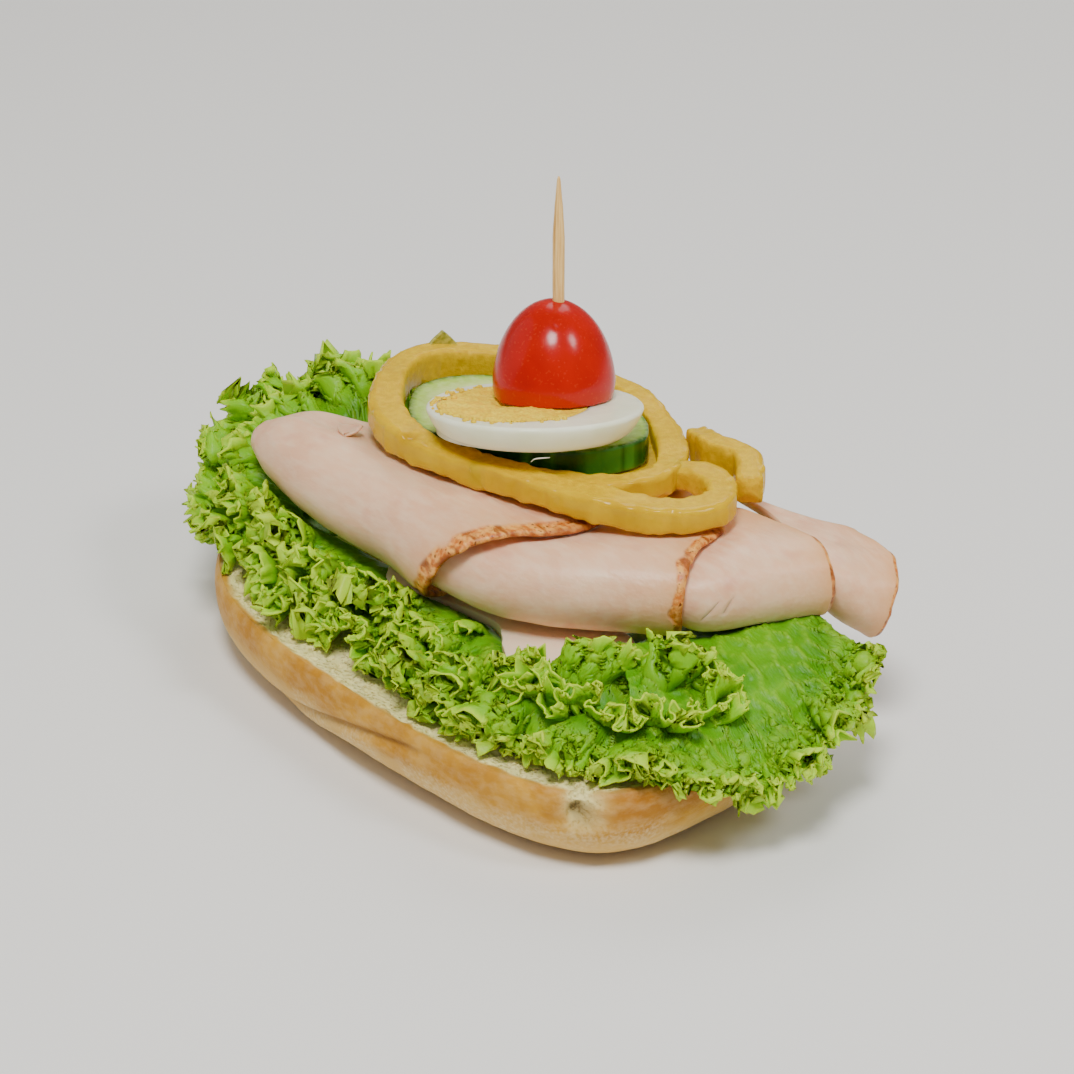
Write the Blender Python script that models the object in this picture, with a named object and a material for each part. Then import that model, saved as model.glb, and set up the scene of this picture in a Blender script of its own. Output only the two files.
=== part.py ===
"""An open sandwich on half a roll, held together by a cocktail stick, as one closed solid per piece.

The script works in metres and gives its sizes in millimetres. The roll's flat base lies at z = 0, its long side
runs along X, and +Z is up. The toppings sit towards +Y, and the folded ham faces -Y and +X.
"""

import math

import bpy
import numpy as np

MM = 0.001
GAP = 0.35

# Half roll
ROLL_HALF_LENGTH = 64.0
ROLL_HALF_WIDTH = 33.8
ROLL_CUT_HEIGHT = 16.0
ROLL_EXPONENT_LEFT = 2.3
ROLL_EXPONENT_RIGHT = 3.3
ROLL_AROUND = 60
# Each pair is the inset from the widest outline and the height, from the flat base up to the cut edge.
ROLL_SECTION = ((13.0, 0.0), (9.0, 0.3), (6.0, 1.2), (3.4, 3.0), (1.4, 5.8), (0.3, 9.2), (0.0, 12.6),
                (0.5, 15.0), (1.5, ROLL_CUT_HEIGHT))

# Axis of the stick, from a point level with the tomato's cut face towards its upper tip
STICK_POINT = np.array((-3.8, 22.7, 53.6))
STICK_LEAN = 0.158
STICK_AXIS = np.array((-0.766 * STICK_LEAN, 0.643 * STICK_LEAN, 0.975))
STICK_AXIS = STICK_AXIS / np.linalg.norm(STICK_AXIS)
STICK_RADIUS = 1.1
STICK_ABOVE = 41.0
STICK_BELOW = 46.0
STICK_TAPER = 11.0

# Round slices of the topping, each with the centre of its upper face, its lean and its sizes
AWAY = np.array((-0.766, 0.643, 0.0))
ACROSS = np.array((0.643, 0.766, 0.0))
CUCUMBER_CENTRE = np.array((-10.0, 23.2, 46.6))
CUCUMBER_HALF_ACROSS = 23.4
CUCUMBER_HALF_DEEP = 20.8
CUCUMBER_THICKNESS = 5.2
CUCUMBER_LEAN = 9.0
EGG_CENTRE = np.array((-2.2, 15.8, 54.9))
EGG_HALF_ACROSS = 19.8
EGG_HALF_DEEP = 18.9
EGG_THICKNESS = 5.0
EGG_LEAN = 12.0
YOLK_RADIUS = 13.7
YOLK_SHIFT = -4.0
TOMATO_RADIUS = 11.4
TOMATO_HEIGHT = 17.9
TOMATO_SHIFT = -0.95
TOMATO_AROUND = 30

# Sweet pepper strips: centre line points, then half width and half height of the strand at each of them
PEPPER_MAIN = (
    (-29.6, 2.6, 47.3, 3.1, 3.0), (-36.8, 8.9, 46.6, 3.0, 3.2), (-42.6, 15.2, 45.9, 2.8, 3.3),
    (-46.0, 22.0, 45.1, 2.7, 3.4), (-45.4, 29.6, 44.0, 2.6, 3.5), (-39.8, 37.6, 42.9, 2.5, 3.5),
    (-31.0, 44.2, 42.4, 2.5, 3.4), (-19.0, 47.6, 42.2, 2.5, 3.2), (-8.8, 47.4, 42.3, 2.6, 3.0),
    (1.2, 43.6, 42.6, 2.7, 2.8), (10.4, 38.0, 43.1, 2.8, 2.6), (17.0, 31.6, 43.6, 2.7, 2.5),
    (19.4, 24.6, 44.1, 2.5, 2.4), (16.8, 17.0, 44.7, 2.5, 2.3), (10.8, 10.2, 45.4, 2.6, 2.3),
    (3.6, 4.2, 46.1, 2.9, 2.5), (-4.4, 1.0, 46.6, 3.1, 2.7), (-12.5, -1.0, 46.9, 3.1, 2.7),
    (-21.0, -1.0, 47.3, 3.1, 2.8),
)
PEPPER_LOBE = (
    (-1.6, 2.0, 46.4, 2.6, 2.2), (4.5, 4.0, 46.2, 3.1, 2.6), (13.1, 7.2, 45.8, 3.1, 2.6),
    (20.7, 11.0, 45.4, 3.1, 2.6), (28.3, 15.2, 44.9, 3.1, 2.6), (33.0, 21.0, 44.5, 3.1, 2.6),
    (34.2, 26.6, 44.4, 3.0, 2.5), (31.2, 31.2, 44.3, 2.8, 2.5), (26.2, 33.6, 44.2, 2.7, 2.5),
    (21.0, 32.8, 44.0, 2.6, 2.4), (17.4, 30.4, 43.8, 2.2, 2.0),
)
PEPPER_BACK = (
    (9.8, 45.2, 43.0, 1.9, 2.4), (13.4, 43.8, 43.5, 2.4, 2.9), (17.0, 42.8, 43.8, 2.7, 3.1),
    (20.6, 43.4, 43.9, 2.8, 3.1), (24.6, 43.4, 43.9, 2.8, 3.1), (28.5, 40.7, 43.8, 2.8, 3.0),
    (31.6, 37.8, 43.7, 2.6, 2.8),
)
PEPPER_AROUND = 10

# Folded ham. A section holds the outermost point of the fold (x, y), the compass angle of the fold line, the
# heights of the lower and upper layers, their heights at the back, and how deep each layer reaches.
HAM_THICKNESS = 1.8
HAM_A = (
    ((-54.2, -10.4), 4.0, 33.4, 38.6, 34.2, 38.2, 4.6, 6.0),
    ((-47.0, -12.9), 2.0, 30.4, 41.3, 31.2, 40.4, 9.0, 13.5),
    ((-36.0, -14.7), 0.0, 28.4, 42.3, 30.6, 38.8, 14.0, 24.0),
    ((-22.0, -15.0), 0.0, 27.2, 42.6, 30.4, 37.0, 17.0, 36.0),
    ((-9.0, -14.2), 0.0, 26.4, 42.6, 30.0, 36.8, 18.0, 44.0),
    ((3.0, -15.8), 0.0, 25.9, 42.6, 29.6, 38.9, 16.0, 42.0),
)
HAM_A_RIM = (-10.0, -6.0, -2.0, 0.0, 4.6, 8.4, 12.6, 17.8, 10.5, -4.0)
HAM_B = (
    ((8.6, -10.8), 17.0, 28.8, 38.2, 31.0, 36.0, 12.0, 14.0),
    ((16.0, -10.2), 22.0, 27.0, 39.2, 30.6, 35.0, 14.0, 22.0),
    ((25.0, -5.2), 33.0, 26.4, 39.7, 30.6, 35.0, 15.0, 32.0),
    ((34.6, 2.8), 40.0, 26.3, 40.3, 30.6, 37.4, 15.0, 37.0),
    ((43.7, 11.3), 41.0, 26.3, 40.4, 30.6, 38.4, 14.0, 40.0),
)
HAM_B_RIM = (-6.6, -4.8, -2.4, -0.9, -0.5, 0.0, 0.8, 4.6, 2.0, -9.0)
HAM_B_START = (4.0, 3.0, 1.0, 0.0, 0.0, -1.0, 0.5, 7.0, 12.0, 10.0)
HAM_C = (
    ((40.4, 11.2), 55.0, 29.4, 37.0, 31.2, 34.0, 8.0, 14.0),
    ((45.2, 15.6), 64.0, 27.0, 38.2, 30.8, 34.0, 11.0, 24.0),
    ((49.5, 25.3), 66.0, 26.6, 39.2, 30.4, 34.4, 12.0, 31.0),
    ((54.8, 37.0), 66.0, 26.7, 38.9, 30.2, 36.6, 12.0, 33.0),
)
HAM_C_RIM = (-5.6, -3.7, -1.7, -0.5, -0.4, -0.3, -0.8, -4.6, -9.4, -15.5)
HAM_C_START = (2.4, 1.4, 0.4, 0.3, 0.2, 0.0, 1.0, 6.0, 10.0, 12.0)
HAM_D = (
    ((49.4, 37.0), 60.0, 30.4, 35.0, 31.2, 34.4, 8.0, 31.0),
    ((54.0, 40.4), 60.0, 24.0, 34.8, 27.0, 34.6, 9.0, 20.0),
    ((56.8, 44.3), 60.0, 20.4, 33.4, 24.4, 34.2, 9.0, 17.0),
    ((58.0, 46.4), 60.0, 18.9, 32.4, 23.0, 33.6, 9.0, 15.0),
)
HAM_D_RIM = (-4.0, -3.0, -1.6, -0.4, 1.2, 2.6, 3.8, 3.2, 1.8, -1.5)
HAM_D_START = (0.0, 0.0, 0.0, 0.0, 0.0, 0.0, 0.0, -1.0, -2.5, -7.0)
HAM_ALONG = 11
HAM_ROUND = 18

# Flat slice of ham seen under the folds: its outline, its height and how far its front corner sags
HAM_E_OUTLINE = (
    (-16.0, -5.0), (-15.2, -8.6), (-9.2, -12.6), (-2.0, -9.6), (6.0, -7.4), (14.4, -6.8), (20.6, -10.4),
    (26.9, -13.8), (29.8, -11.2), (31.6, -8.4), (34.6, -1.0), (36.0, 7.0), (30.0, 8.6), (20.0, 6.0), (8.0, 5.0),
    (-6.0, 4.0),
)
HAM_E_HEIGHT = 23.7
HAM_E_SAG = 0.4

# Lettuce: the line where each leaf is rooted under the ham, its rim, and the height of the hump between them
LETTUCE_THICKNESS = 0.8
LEAF_FRONT_ROOT = ((-37.0, -10.0, 20.4), (-25.0, -3.0, 20.4), (-10.0, 2.0, 20.2), (4.0, 5.0, 20.2),
                   (16.0, 9.0, 20.2), (25.0, 14.0, 20.2), (32.0, 20.0, 20.2))
LEAF_FRONT_RIM = ((-41.0, -27.0, 21.0), (-26.0, -30.5, 19.6), (-13.0, -29.6, 19.4), (3.0, -30.0, 19.4),
                  (18.0, -31.2, 19.4), (31.0, -30.4, 19.6), (42.0, -26.4, 20.4), (52.0, -22.4, 20.6),
                  (58.6, -16.6, 20.2))
LEAF_LEFT_ROOT = ((-38.0, -8.0, 20.4), (-36.0, 0.0, 21.0), (-32.0, 8.0, 22.0), (-22.0, 16.0, 23.0),
                  (-10.0, 22.0, 23.0), (4.0, 25.0, 22.6), (16.0, 27.0, 22.0))
LEAF_LEFT_RIM = ((-46.0, -25.5, 20.6), (-59.0, -22.5, 20.4), (-68.0, -16.0, 22.6), (-76.0, -8.0, 27.4),
                 (-79.0, 2.0, 31.6), (-78.0, 12.0, 34.4), (-73.0, 21.0, 36.6), (-62.0, 29.5, 36.6),
                 (-46.0, 37.0, 34.2), (-26.0, 42.0, 31.4), (-4.0, 43.0, 29.4), (14.0, 42.0, 27.6),
                 (26.0, 40.0, 26.0))
LEAF_RIGHT_ROOT = ((33.2, 21.4, 20.2), (35.6, 23.6, 20.2), (37.2, 26.0, 20.4), (37.8, 28.6, 20.8),
                   (37.4, 31.4, 21.0))
LEAF_RIGHT_RIM = ((60.4, -14.0, 19.4), (67.0, -8.6, 15.6), (72.0, 1.0, 14.0), (74.4, 11.0, 14.2),
                  (73.4, 20.0, 16.2), (69.6, 29.5, 18.8), (63.0, 35.6, 21.2), (54.0, 38.0, 22.6))


def spline(points, samples, closed=False):
    """Catmull-Rom through points along their first axis, read at samples in 0..1."""
    points = np.asarray(points, float)
    count = len(points)
    spans = count if closed else count - 1
    place = np.clip(np.asarray(samples, float), 0.0, 1.0) * spans
    index = np.minimum(place.astype(int), spans - 1)
    t = (place - index).reshape((-1,) + (1,) * (points.ndim - 1))

    def at(offset):
        where = index + offset
        if closed:
            return points[where % count]
        low = points[0] * 2 - points[1]
        high = points[-1] * 2 - points[-2]
        padded = np.concatenate([low[None], points, high[None]])
        return padded[np.clip(where + 1, 0, count + 1)]

    a, b, c, d = at(-1), at(0), at(1), at(2)
    return 0.5 * (2 * b + (c - a) * t + (2 * a - 5 * b + 4 * c - d) * t**2 + (3 * b - a - 3 * c + d) * t**3)


def even_samples(points, count, closed=False):
    """Parameters in 0..1 that lie evenly along the spline through points."""
    fine = np.linspace(0.0, 1.0, 600)
    path = spline(points, fine, closed)[:, :3]
    length = np.concatenate([[0.0], np.cumsum(np.linalg.norm(np.diff(path, axis=0), axis=1))])
    wanted = np.linspace(0.0, length[-1], count + 1 if closed else count)
    found = np.interp(wanted, length, fine)
    return found[:-1] if closed else found


def unit(vectors):
    """Vectors scaled to length one."""
    return vectors / np.maximum(np.linalg.norm(vectors, axis=-1, keepdims=True), 1e-12)


def grid_faces(rows, columns, start=0, wrap_rows=False, wrap_columns=False):
    """Triangles of a rows by columns grid, wound so that the normal is d(row) x d(column)."""
    i = np.arange(rows if wrap_rows else rows - 1)
    j = np.arange(columns if wrap_columns else columns - 1)
    i, j = np.meshgrid(i, j, indexing="ij")
    a = i * columns + j
    b = (i + 1) % rows * columns + j
    c = (i + 1) % rows * columns + (j + 1) % columns
    d = i * columns + (j + 1) % columns
    quads = np.stack([a, b, c, a, c, d], axis=-1).reshape(-1, 3)
    return quads + start


def make_object(name, points, faces, colour):
    """One mesh object from points in millimetres, with its own material and its faces turned outward."""
    points = np.asarray(points, float) * MM
    faces = np.asarray(faces, int)
    corners = points[faces] - points.mean(axis=0)
    if np.linalg.det(corners).sum() < 0:
        faces = faces[:, ::-1]
    mesh = bpy.data.meshes.new(name)
    mesh.from_pydata(points.tolist(), [], faces.tolist())
    mesh.update()
    found = bpy.data.objects.new(name, mesh)
    bpy.context.scene.collection.objects.link(found)
    material = bpy.data.materials.new(name + "_material")
    material.use_nodes = True
    shader = material.node_tree.nodes["Principled BSDF"]
    shader.inputs["Base Color"].default_value = (*colour, 1.0)
    shader.inputs["Roughness"].default_value = 0.5
    material.diffuse_color = (*colour, 1.0)
    mesh.materials.append(material)
    return found


def sheet_solid(name, middle, thickness, colour):
    """A thin solid: the middle surface as a grid of points, moved half the thickness to each side."""
    rows, columns = middle.shape[:2]
    normal = unit(np.cross(np.gradient(middle, axis=0), np.gradient(middle, axis=1)))
    upper = (middle + normal * thickness / 2).reshape(-1, 3)
    lower = (middle - normal * thickness / 2).reshape(-1, 3)
    count = rows * columns
    top = grid_faces(rows, columns)
    border = np.concatenate([
        np.arange(columns),
        np.arange(1, rows) * columns + columns - 1,
        (rows - 1) * columns + np.arange(columns - 2, -1, -1),
        np.arange(rows - 2, 0, -1) * columns,
    ])
    following = np.roll(border, -1)
    side = np.stack([border, following, following + count, border, following + count, border + count],
                    axis=-1).reshape(-1, 3)
    faces = np.concatenate([top, top[:, ::-1] + count, side])
    return make_object(name, np.concatenate([upper, lower]), faces, colour)


def stacked_rings(name, rings, colour, top_centre=None, base_centre=None):
    """A solid from closed rings of points, each cap being a fan round its centre."""
    rings = np.asarray(rings, float)
    rows, columns = rings.shape[:2]
    base = rings[0].mean(axis=0) if base_centre is None else np.asarray(base_centre, float)
    top = rings[-1].mean(axis=0) if top_centre is None else np.asarray(top_centre, float)
    points = np.concatenate([rings.reshape(-1, 3), [base], [top]])
    around = np.arange(columns)
    after = (around + 1) % columns
    sides = grid_faces(rows, columns, wrap_columns=True)
    first = np.stack([np.full(columns, rows * columns), around, after], axis=-1)
    last = np.stack([np.full(columns, rows * columns + 1), (rows - 1) * columns + after,
                     (rows - 1) * columns + around], axis=-1)
    return make_object(name, points, np.concatenate([sides, first, last]), colour)


def roll_outline(angle, inset):
    """Outline of the roll at one inset, squarer at its right end than at its left."""
    cosine, sine = np.cos(angle), np.sin(angle)
    middle = (ROLL_EXPONENT_LEFT + ROLL_EXPONENT_RIGHT) / 2
    exponent = middle + (ROLL_EXPONENT_RIGHT - ROLL_EXPONENT_LEFT) / 2 * cosine
    x = (ROLL_HALF_LENGTH - inset) * np.sign(cosine) * np.abs(cosine) ** (2 / exponent)
    y = (ROLL_HALF_WIDTH - inset) * np.sign(sine) * np.abs(sine) ** (2 / exponent)
    return x, y


def build_roll():
    angle = np.linspace(0.0, 2 * math.pi, ROLL_AROUND, endpoint=False)
    rings = []
    for inset, height in ROLL_SECTION:
        x, y = roll_outline(angle, inset)
        rings.append(np.stack([x, y, np.full(ROLL_AROUND, height)], axis=-1))
    roll = stacked_rings("half_roll", rings, (0.72, 0.45, 0.18), top_centre=(0.0, 0.0, ROLL_CUT_HEIGHT),
                         base_centre=(0.0, 0.0, 0.0))
    return roll


def lean_frame(lean):
    """Three unit vectors of a disc that leans back: across, deep and normal."""
    angle = math.radians(lean)
    normal = AWAY * math.sin(angle) + np.array((0.0, 0.0, math.cos(angle)))
    normal = normal / np.linalg.norm(normal)
    deep = np.cross(normal, ACROSS)
    return unit(ACROSS), unit(deep), normal


def disc_rings(centre, lean, half_across, half_deep, thickness, around, rounding, shift=0.0):
    """Rings of a flat slice from its underside to its upper face, with its edges rounded."""
    across, deep, normal = lean_frame(lean)
    angle = np.linspace(0.0, 2 * math.pi, around, endpoint=False)
    rings = []
    for inset, depth in ((rounding, thickness), (0.0, thickness - rounding), (0.0, rounding), (rounding, 0.0)):
        ring = (centre - normal * depth + across * shift
                + np.cos(angle)[:, None] * across * (half_across - inset)
                + np.sin(angle)[:, None] * deep * (half_deep - inset))
        rings.append(ring)
    return np.array(rings)


def keep_inside_loop(rings):
    """Presses the rim of a slice in where the front pepper strip passes it."""
    strand = spline(np.array(PEPPER_MAIN), np.linspace(0.0, 1.0, 400, endpoint=False), True)
    away = rings[..., None, :2] - strand[:, :2]
    distance = np.linalg.norm(away, axis=-1)
    nearest = np.argmin(distance, axis=-1)[..., None]
    distance = np.take_along_axis(distance, nearest, axis=-1)
    away = np.take_along_axis(away, nearest[..., None], axis=-2)[..., 0, :] / distance
    wanted = strand[nearest, 3] + GAP + 1.1
    pressed = rings.copy()
    pressed[..., :2] += away * np.maximum(wanted - distance, 0.0)
    return pressed


def build_cucumber():
    rings = disc_rings(CUCUMBER_CENTRE, CUCUMBER_LEAN, CUCUMBER_HALF_ACROSS, CUCUMBER_HALF_DEEP,
                       CUCUMBER_THICKNESS, 44, 0.35)
    return stacked_rings("cucumber_slice", keep_inside_loop(rings), (0.2, 0.45, 0.1))


def build_egg():
    """The white with its hole, and the yolk in it, which is returned."""
    across, deep, normal = lean_frame(EGG_LEAN)
    angle = np.linspace(0.0, 2 * math.pi, 42, endpoint=False)
    outer = disc_rings(EGG_CENTRE, EGG_LEAN, EGG_HALF_ACROSS, EGG_HALF_DEEP, EGG_THICKNESS, 42, 0.6)
    radius = YOLK_RADIUS + GAP
    inner = []
    for depth in (0.0, EGG_THICKNESS):
        inner.append(EGG_CENTRE - normal * depth + across * YOLK_SHIFT
                     + radius * (np.cos(angle)[:, None] * across + np.sin(angle)[:, None] * deep))
    loops = np.concatenate([outer, inner])
    faces = grid_faces(len(loops), 42, wrap_rows=True, wrap_columns=True)
    make_object("egg_white", loops.reshape(-1, 3), faces, (0.85, 0.84, 0.72))
    rings = disc_rings(EGG_CENTRE, EGG_LEAN, YOLK_RADIUS, YOLK_RADIUS, EGG_THICKNESS, 36, 0.25, YOLK_SHIFT)
    return stacked_rings("egg_yolk", rings, (0.85, 0.6, 0.13))


def build_tomato():
    across, deep, normal = lean_frame(EGG_LEAN)
    angle = np.linspace(0.0, 2 * math.pi, TOMATO_AROUND, endpoint=False)
    rings = []
    base = STICK_POINT + normal * 0.45 + across * TOMATO_SHIFT
    heights = TOMATO_HEIGHT * np.array((0.0, 0.02, 0.14, 0.32, 0.5, 0.67, 0.81, 0.91, 0.975))
    for height in heights:
        share = height / TOMATO_HEIGHT
        radius = TOMATO_RADIUS * (1 - share**2.25) ** 0.52
        radius -= 0.55 * max(0.0, 1 - height / 4.0) ** 2
        if height == 0.0:
            radius -= 0.35
        ring = base + normal * height + radius * (np.cos(angle)[:, None] * across + np.sin(angle)[:, None] * deep)
        rings.append(ring)
    return stacked_rings("tomato_half", rings, (0.7, 0.04, 0.02), top_centre=base + normal * TOMATO_HEIGHT)


def axis_rings(stations, around):
    """Rings round the stick's axis at (distance along it, radius) stations."""
    side = unit(np.cross(STICK_AXIS, np.array((0.0, 1.0, 0.0))))
    other = np.cross(STICK_AXIS, side)
    angle = np.linspace(0.0, 2 * math.pi, around, endpoint=False)
    return np.array([STICK_POINT + STICK_AXIS * along
                     + radius * (np.cos(angle)[:, None] * side + np.sin(angle)[:, None] * other)
                     for along, radius in stations])


def build_stick():
    stations = ((-STICK_BELOW, 0.22), (-STICK_BELOW + STICK_TAPER * 0.5, 0.75), (-STICK_BELOW + STICK_TAPER, STICK_RADIUS),
                (STICK_ABOVE - STICK_TAPER, STICK_RADIUS), (STICK_ABOVE - STICK_TAPER * 0.5, 0.78),
                (STICK_ABOVE, 0.22))
    return stacked_rings("cocktail_stick", axis_rings(stations, 14), (0.78, 0.58, 0.3))


def cut_for_stick(target, lower, upper):
    """Cuts the stick's clearance hole through target between two distances along its axis."""
    rings = axis_rings(((lower, STICK_RADIUS + GAP), (upper, STICK_RADIUS + GAP)), 14)
    cutter = stacked_rings("clearance_" + target.name, rings, (0.5, 0.5, 0.5))
    cutter.hide_render = True
    cutter.display_type = "WIRE"
    hole = target.modifiers.new("stick_hole", "BOOLEAN")
    hole.operation = "DIFFERENCE"
    hole.solver = "EXACT"
    hole.object = cutter


def strand_rings(line, samples, closed):
    """Rings of a pepper strand with a rounded oblong section, upright on its centre line."""
    line = np.asarray(line, float)
    where = even_samples(line, samples, closed)
    found = spline(line, where, closed)
    path, half_width, half_height = found[:, :3], found[:, 3], found[:, 4]
    if closed:
        tangent = np.roll(path, -1, axis=0) - np.roll(path, 1, axis=0)
    else:
        tangent = np.gradient(path, axis=0)
    side = unit(np.cross(np.array((0.0, 0.0, 1.0)), tangent))
    rise = unit(np.cross(tangent, side))
    angle = np.linspace(0.0, 2 * math.pi, PEPPER_AROUND, endpoint=False) + math.pi / PEPPER_AROUND
    flat = 0.62
    cosine = np.sign(np.cos(angle)) * np.abs(np.cos(angle)) ** flat
    sine = np.sign(np.sin(angle)) * np.abs(np.sin(angle)) ** flat
    return (path[:, None] + side[:, None] * (half_width[:, None] * cosine)[..., None]
            + rise[:, None] * (half_height[:, None] * sine)[..., None])


def build_pepper():
    """The front strip is a closed loop joined with its small lobe. The back strip is an open piece."""
    rings = strand_rings(PEPPER_MAIN, 42, True)
    faces = grid_faces(len(rings), PEPPER_AROUND, wrap_rows=True, wrap_columns=True)
    front = make_object("pepper_strip_front", rings.reshape(-1, 3), faces, (0.85, 0.52, 0.01))
    lobe = stacked_rings("pepper_lobe", strand_rings(PEPPER_LOBE, 20, False), (0.85, 0.52, 0.01))
    lobe.hide_render = True
    lobe.display_type = "WIRE"
    joined = front.modifiers.new("lobe", "BOOLEAN")
    joined.operation = "UNION"
    joined.solver = "EXACT"
    joined.object = lobe
    stacked_rings("pepper_strip_back", strand_rings(PEPPER_BACK, 14, False), (0.82, 0.5, 0.01))


def fold_knots(section):
    """The ten control points of one folded section, and its line direction."""
    (x, y), degrees, low, high, low_back, high_back, low_deep, high_deep = section
    angle = math.radians(degrees)
    line = np.array((math.cos(angle), math.sin(angle), 0.0))
    inward = np.array((-math.sin(angle), math.cos(angle), 0.0))
    radius = (high - low) / 2
    centre = (high + low) / 2
    turn = 0.707
    start = radius * 1.15
    pairs = (
        (low_deep, low_back),
        (start + 0.5 * (low_deep - start), low + 0.35 * (low_back - low)),
        (start, low),
        (radius * (1 - turn), centre - radius * turn),
        (0.0, centre),
        (radius * (1 - turn), centre + radius * turn),
        (start, high),
        (start + 0.33 * (high_deep - start), high + 0.34 * (high_back - high)),
        (start + 0.66 * (high_deep - start), high + 0.7 * (high_back - high)),
        (high_deep, high_back),
    )
    origin = np.array((x, y, 0.0))
    return np.array([origin + inward * deep + np.array((0.0, 0.0, height)) for deep, height in pairs]), line


def folded_sheet(sections, start_shift, rim_shift, along, around):
    """Middle surface of a folded slice as a grid: rows run along the fold, columns round it."""
    nets = []
    lines = []
    for section in sections:
        knots, line = fold_knots(section)
        nets.append(knots)
        lines.append(line)
    nets = np.array(nets)
    nets[0] += np.asarray(start_shift)[:, None] * lines[0]
    nets[-1] += np.asarray(rim_shift)[:, None] * lines[-1]
    round_it = np.array([0.0, 0.06, 0.12, 0.18, 0.235, 0.285, 0.33, 0.37, 0.41, 0.445, 0.48, 0.515, 0.55, 0.59, 0.63,
                         0.675, 0.72, 0.775, 0.83, 0.885, 0.94, 1.0])
    if around != len(round_it):
        round_it = np.interp(np.linspace(0, 1, around), np.linspace(0, 1, len(round_it)), round_it)
    rows = spline(nets, np.linspace(0.0, 1.0, along))
    return np.moveaxis(spline(np.moveaxis(rows, 1, 0), round_it), 0, 1)


def build_ham():
    zero = (0.0,) * 10
    pieces = []
    for name, sections, start, rim in (
        ("ham_slice_a", HAM_A, zero, HAM_A_RIM),
        ("ham_slice_b", HAM_B, HAM_B_START, HAM_B_RIM),
        ("ham_slice_c", HAM_C, HAM_C_START, HAM_C_RIM),
        ("ham_slice_d", HAM_D, HAM_D_START, HAM_D_RIM),
    ):
        along = HAM_ALONG if name == "ham_slice_a" else HAM_ALONG - 3
        middle = folded_sheet(sections, start, rim, along, HAM_ROUND)
        pieces.append(sheet_solid(name, middle, HAM_THICKNESS, (0.8, 0.58, 0.48)))
    outline = spline(HAM_E_OUTLINE, even_samples(HAM_E_OUTLINE, 34, True), True)
    centre = np.array((10.0, -2.0))
    rings = []
    for share in (0.05, 0.6, 1.0):
        flat = centre + (outline - centre) * share
        sag = HAM_E_SAG * np.clip((-flat[:, 1] - 5.0) / 8.0, 0.0, 1.5) ** 1.5
        rings.append(np.column_stack([flat, HAM_E_HEIGHT - sag]))
    rings = np.array(rings)
    lift = np.array((0.0, 0.0, HAM_THICKNESS / 2))
    shell = np.concatenate([rings - lift, rings[::-1] + lift])
    pieces.append(stacked_rings("ham_slice_flat", shell, (0.8, 0.58, 0.48)))
    return pieces


def leaf_surface(root, rim, along, across, waves, hump, seed, long_wave=5.0, short_wave=2.0, droop=0.0):
    """Middle surface of a ruffled leaf: rows run along it, columns from its root to its rim."""
    s = even_samples(rim, along)
    v = np.linspace(0.0, 1.0, across)
    base = spline(root, s)
    edge = spline(rim, s)
    surface = base[:, None] * (1 - v)[None, :, None] + edge[:, None] * v[None, :, None]
    shape = np.sin(math.pi * np.clip(v, 0, 1) ** 0.85)
    surface[..., 2] += hump * shape[None, :]
    travel = np.concatenate([[0.0], np.cumsum(np.linalg.norm(np.diff(edge, axis=0), axis=1))])
    phase = 2 * math.pi * waves * travel / travel[-1]
    wobble = 0.7 * np.sin(phase * 0.31 + seed) + 0.5 * np.sin(phase * 0.173 + 2.1 * seed)
    first = np.sin(phase + wobble) * (1 + 0.25 * np.sin(phase * 0.37 + seed))
    second = np.sin(2.7 * phase + 1.7 * wobble + seed) * (1 + 0.3 * np.sin(phase * 0.53 + 1.3 * seed))
    grow = v**1.3
    late = np.clip((v - 0.3) / 0.7, 0, 1) ** 1.1
    outward = unit(edge - base)
    surface[..., 2] += long_wave * first[:, None] * grow + short_wave * second[:, None] * late
    surface += outward[:, None] * (0.9 * np.cos(phase + wobble)[:, None] * grow
                                   + 0.8 * np.cos(2.7 * phase + 1.7 * wobble)[:, None] * late)[..., None]
    surface[..., 2] -= droop * (v**2)[None, :]
    return surface


def soft_floor(values, floor, softness=1.2):
    """Values kept above a floor without a crease."""
    return floor + softness * np.logaddexp(0.0, (values - floor) / softness)


def roll_distance(x, y):
    """How far a point lies outside the roll's outline, roughly, in millimetres. It is negative inside."""
    angle = np.arctan2(y / ROLL_HALF_WIDTH, x / ROLL_HALF_LENGTH)
    exponent = 2.8 + 0.5 * np.cos(angle)
    reach = (np.abs(x / ROLL_HALF_LENGTH) ** exponent + np.abs(y / ROLL_HALF_WIDTH) ** exponent) ** (1 / exponent)
    return (reach - 1) * np.hypot(x, y) / np.maximum(reach, 1e-6)


def rest_on_roll(surface):
    """Keeps a leaf clear of the roll: above its cut face, and free beyond its edge."""
    outside = roll_distance(surface[..., 0], surface[..., 1])
    floor = ROLL_CUT_HEIGHT + 1.0 - 9.0 * np.clip((outside - 2.0) / 6.0, 0.0, 1.0)
    surface[..., 2] = soft_floor(surface[..., 2], floor, 0.8)
    return surface


def keep_under_fold(surface, line, height, reach=4.0):
    """Lowers the part of a leaf that lies behind a fold line, so that it stays under the ham."""
    line = np.asarray(line, float)
    x, y = surface[..., 0], surface[..., 1]
    front = np.interp(x, line[:, 0], line[:, 1])
    ahead = np.clip((front - y) / reach, 0.0, 1.0)
    ceiling = height + 14.0 * ahead**1.5
    surface[..., 2] = -soft_floor(-surface[..., 2], -ceiling, 0.6)
    return surface


FOLD_LINE = ((-70.0, -13.5), (-54.0, -15.5), (-36.0, -18.5), (-16.0, -18.5), (6.0, -18.5), (18.0, -15.0),
             (26.0, -17.5), (31.0, -15.0), (36.0, -8.0), (46.0, 8.0), (52.0, 20.0), (56.0, 34.0), (60.0, 40.0))


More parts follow.
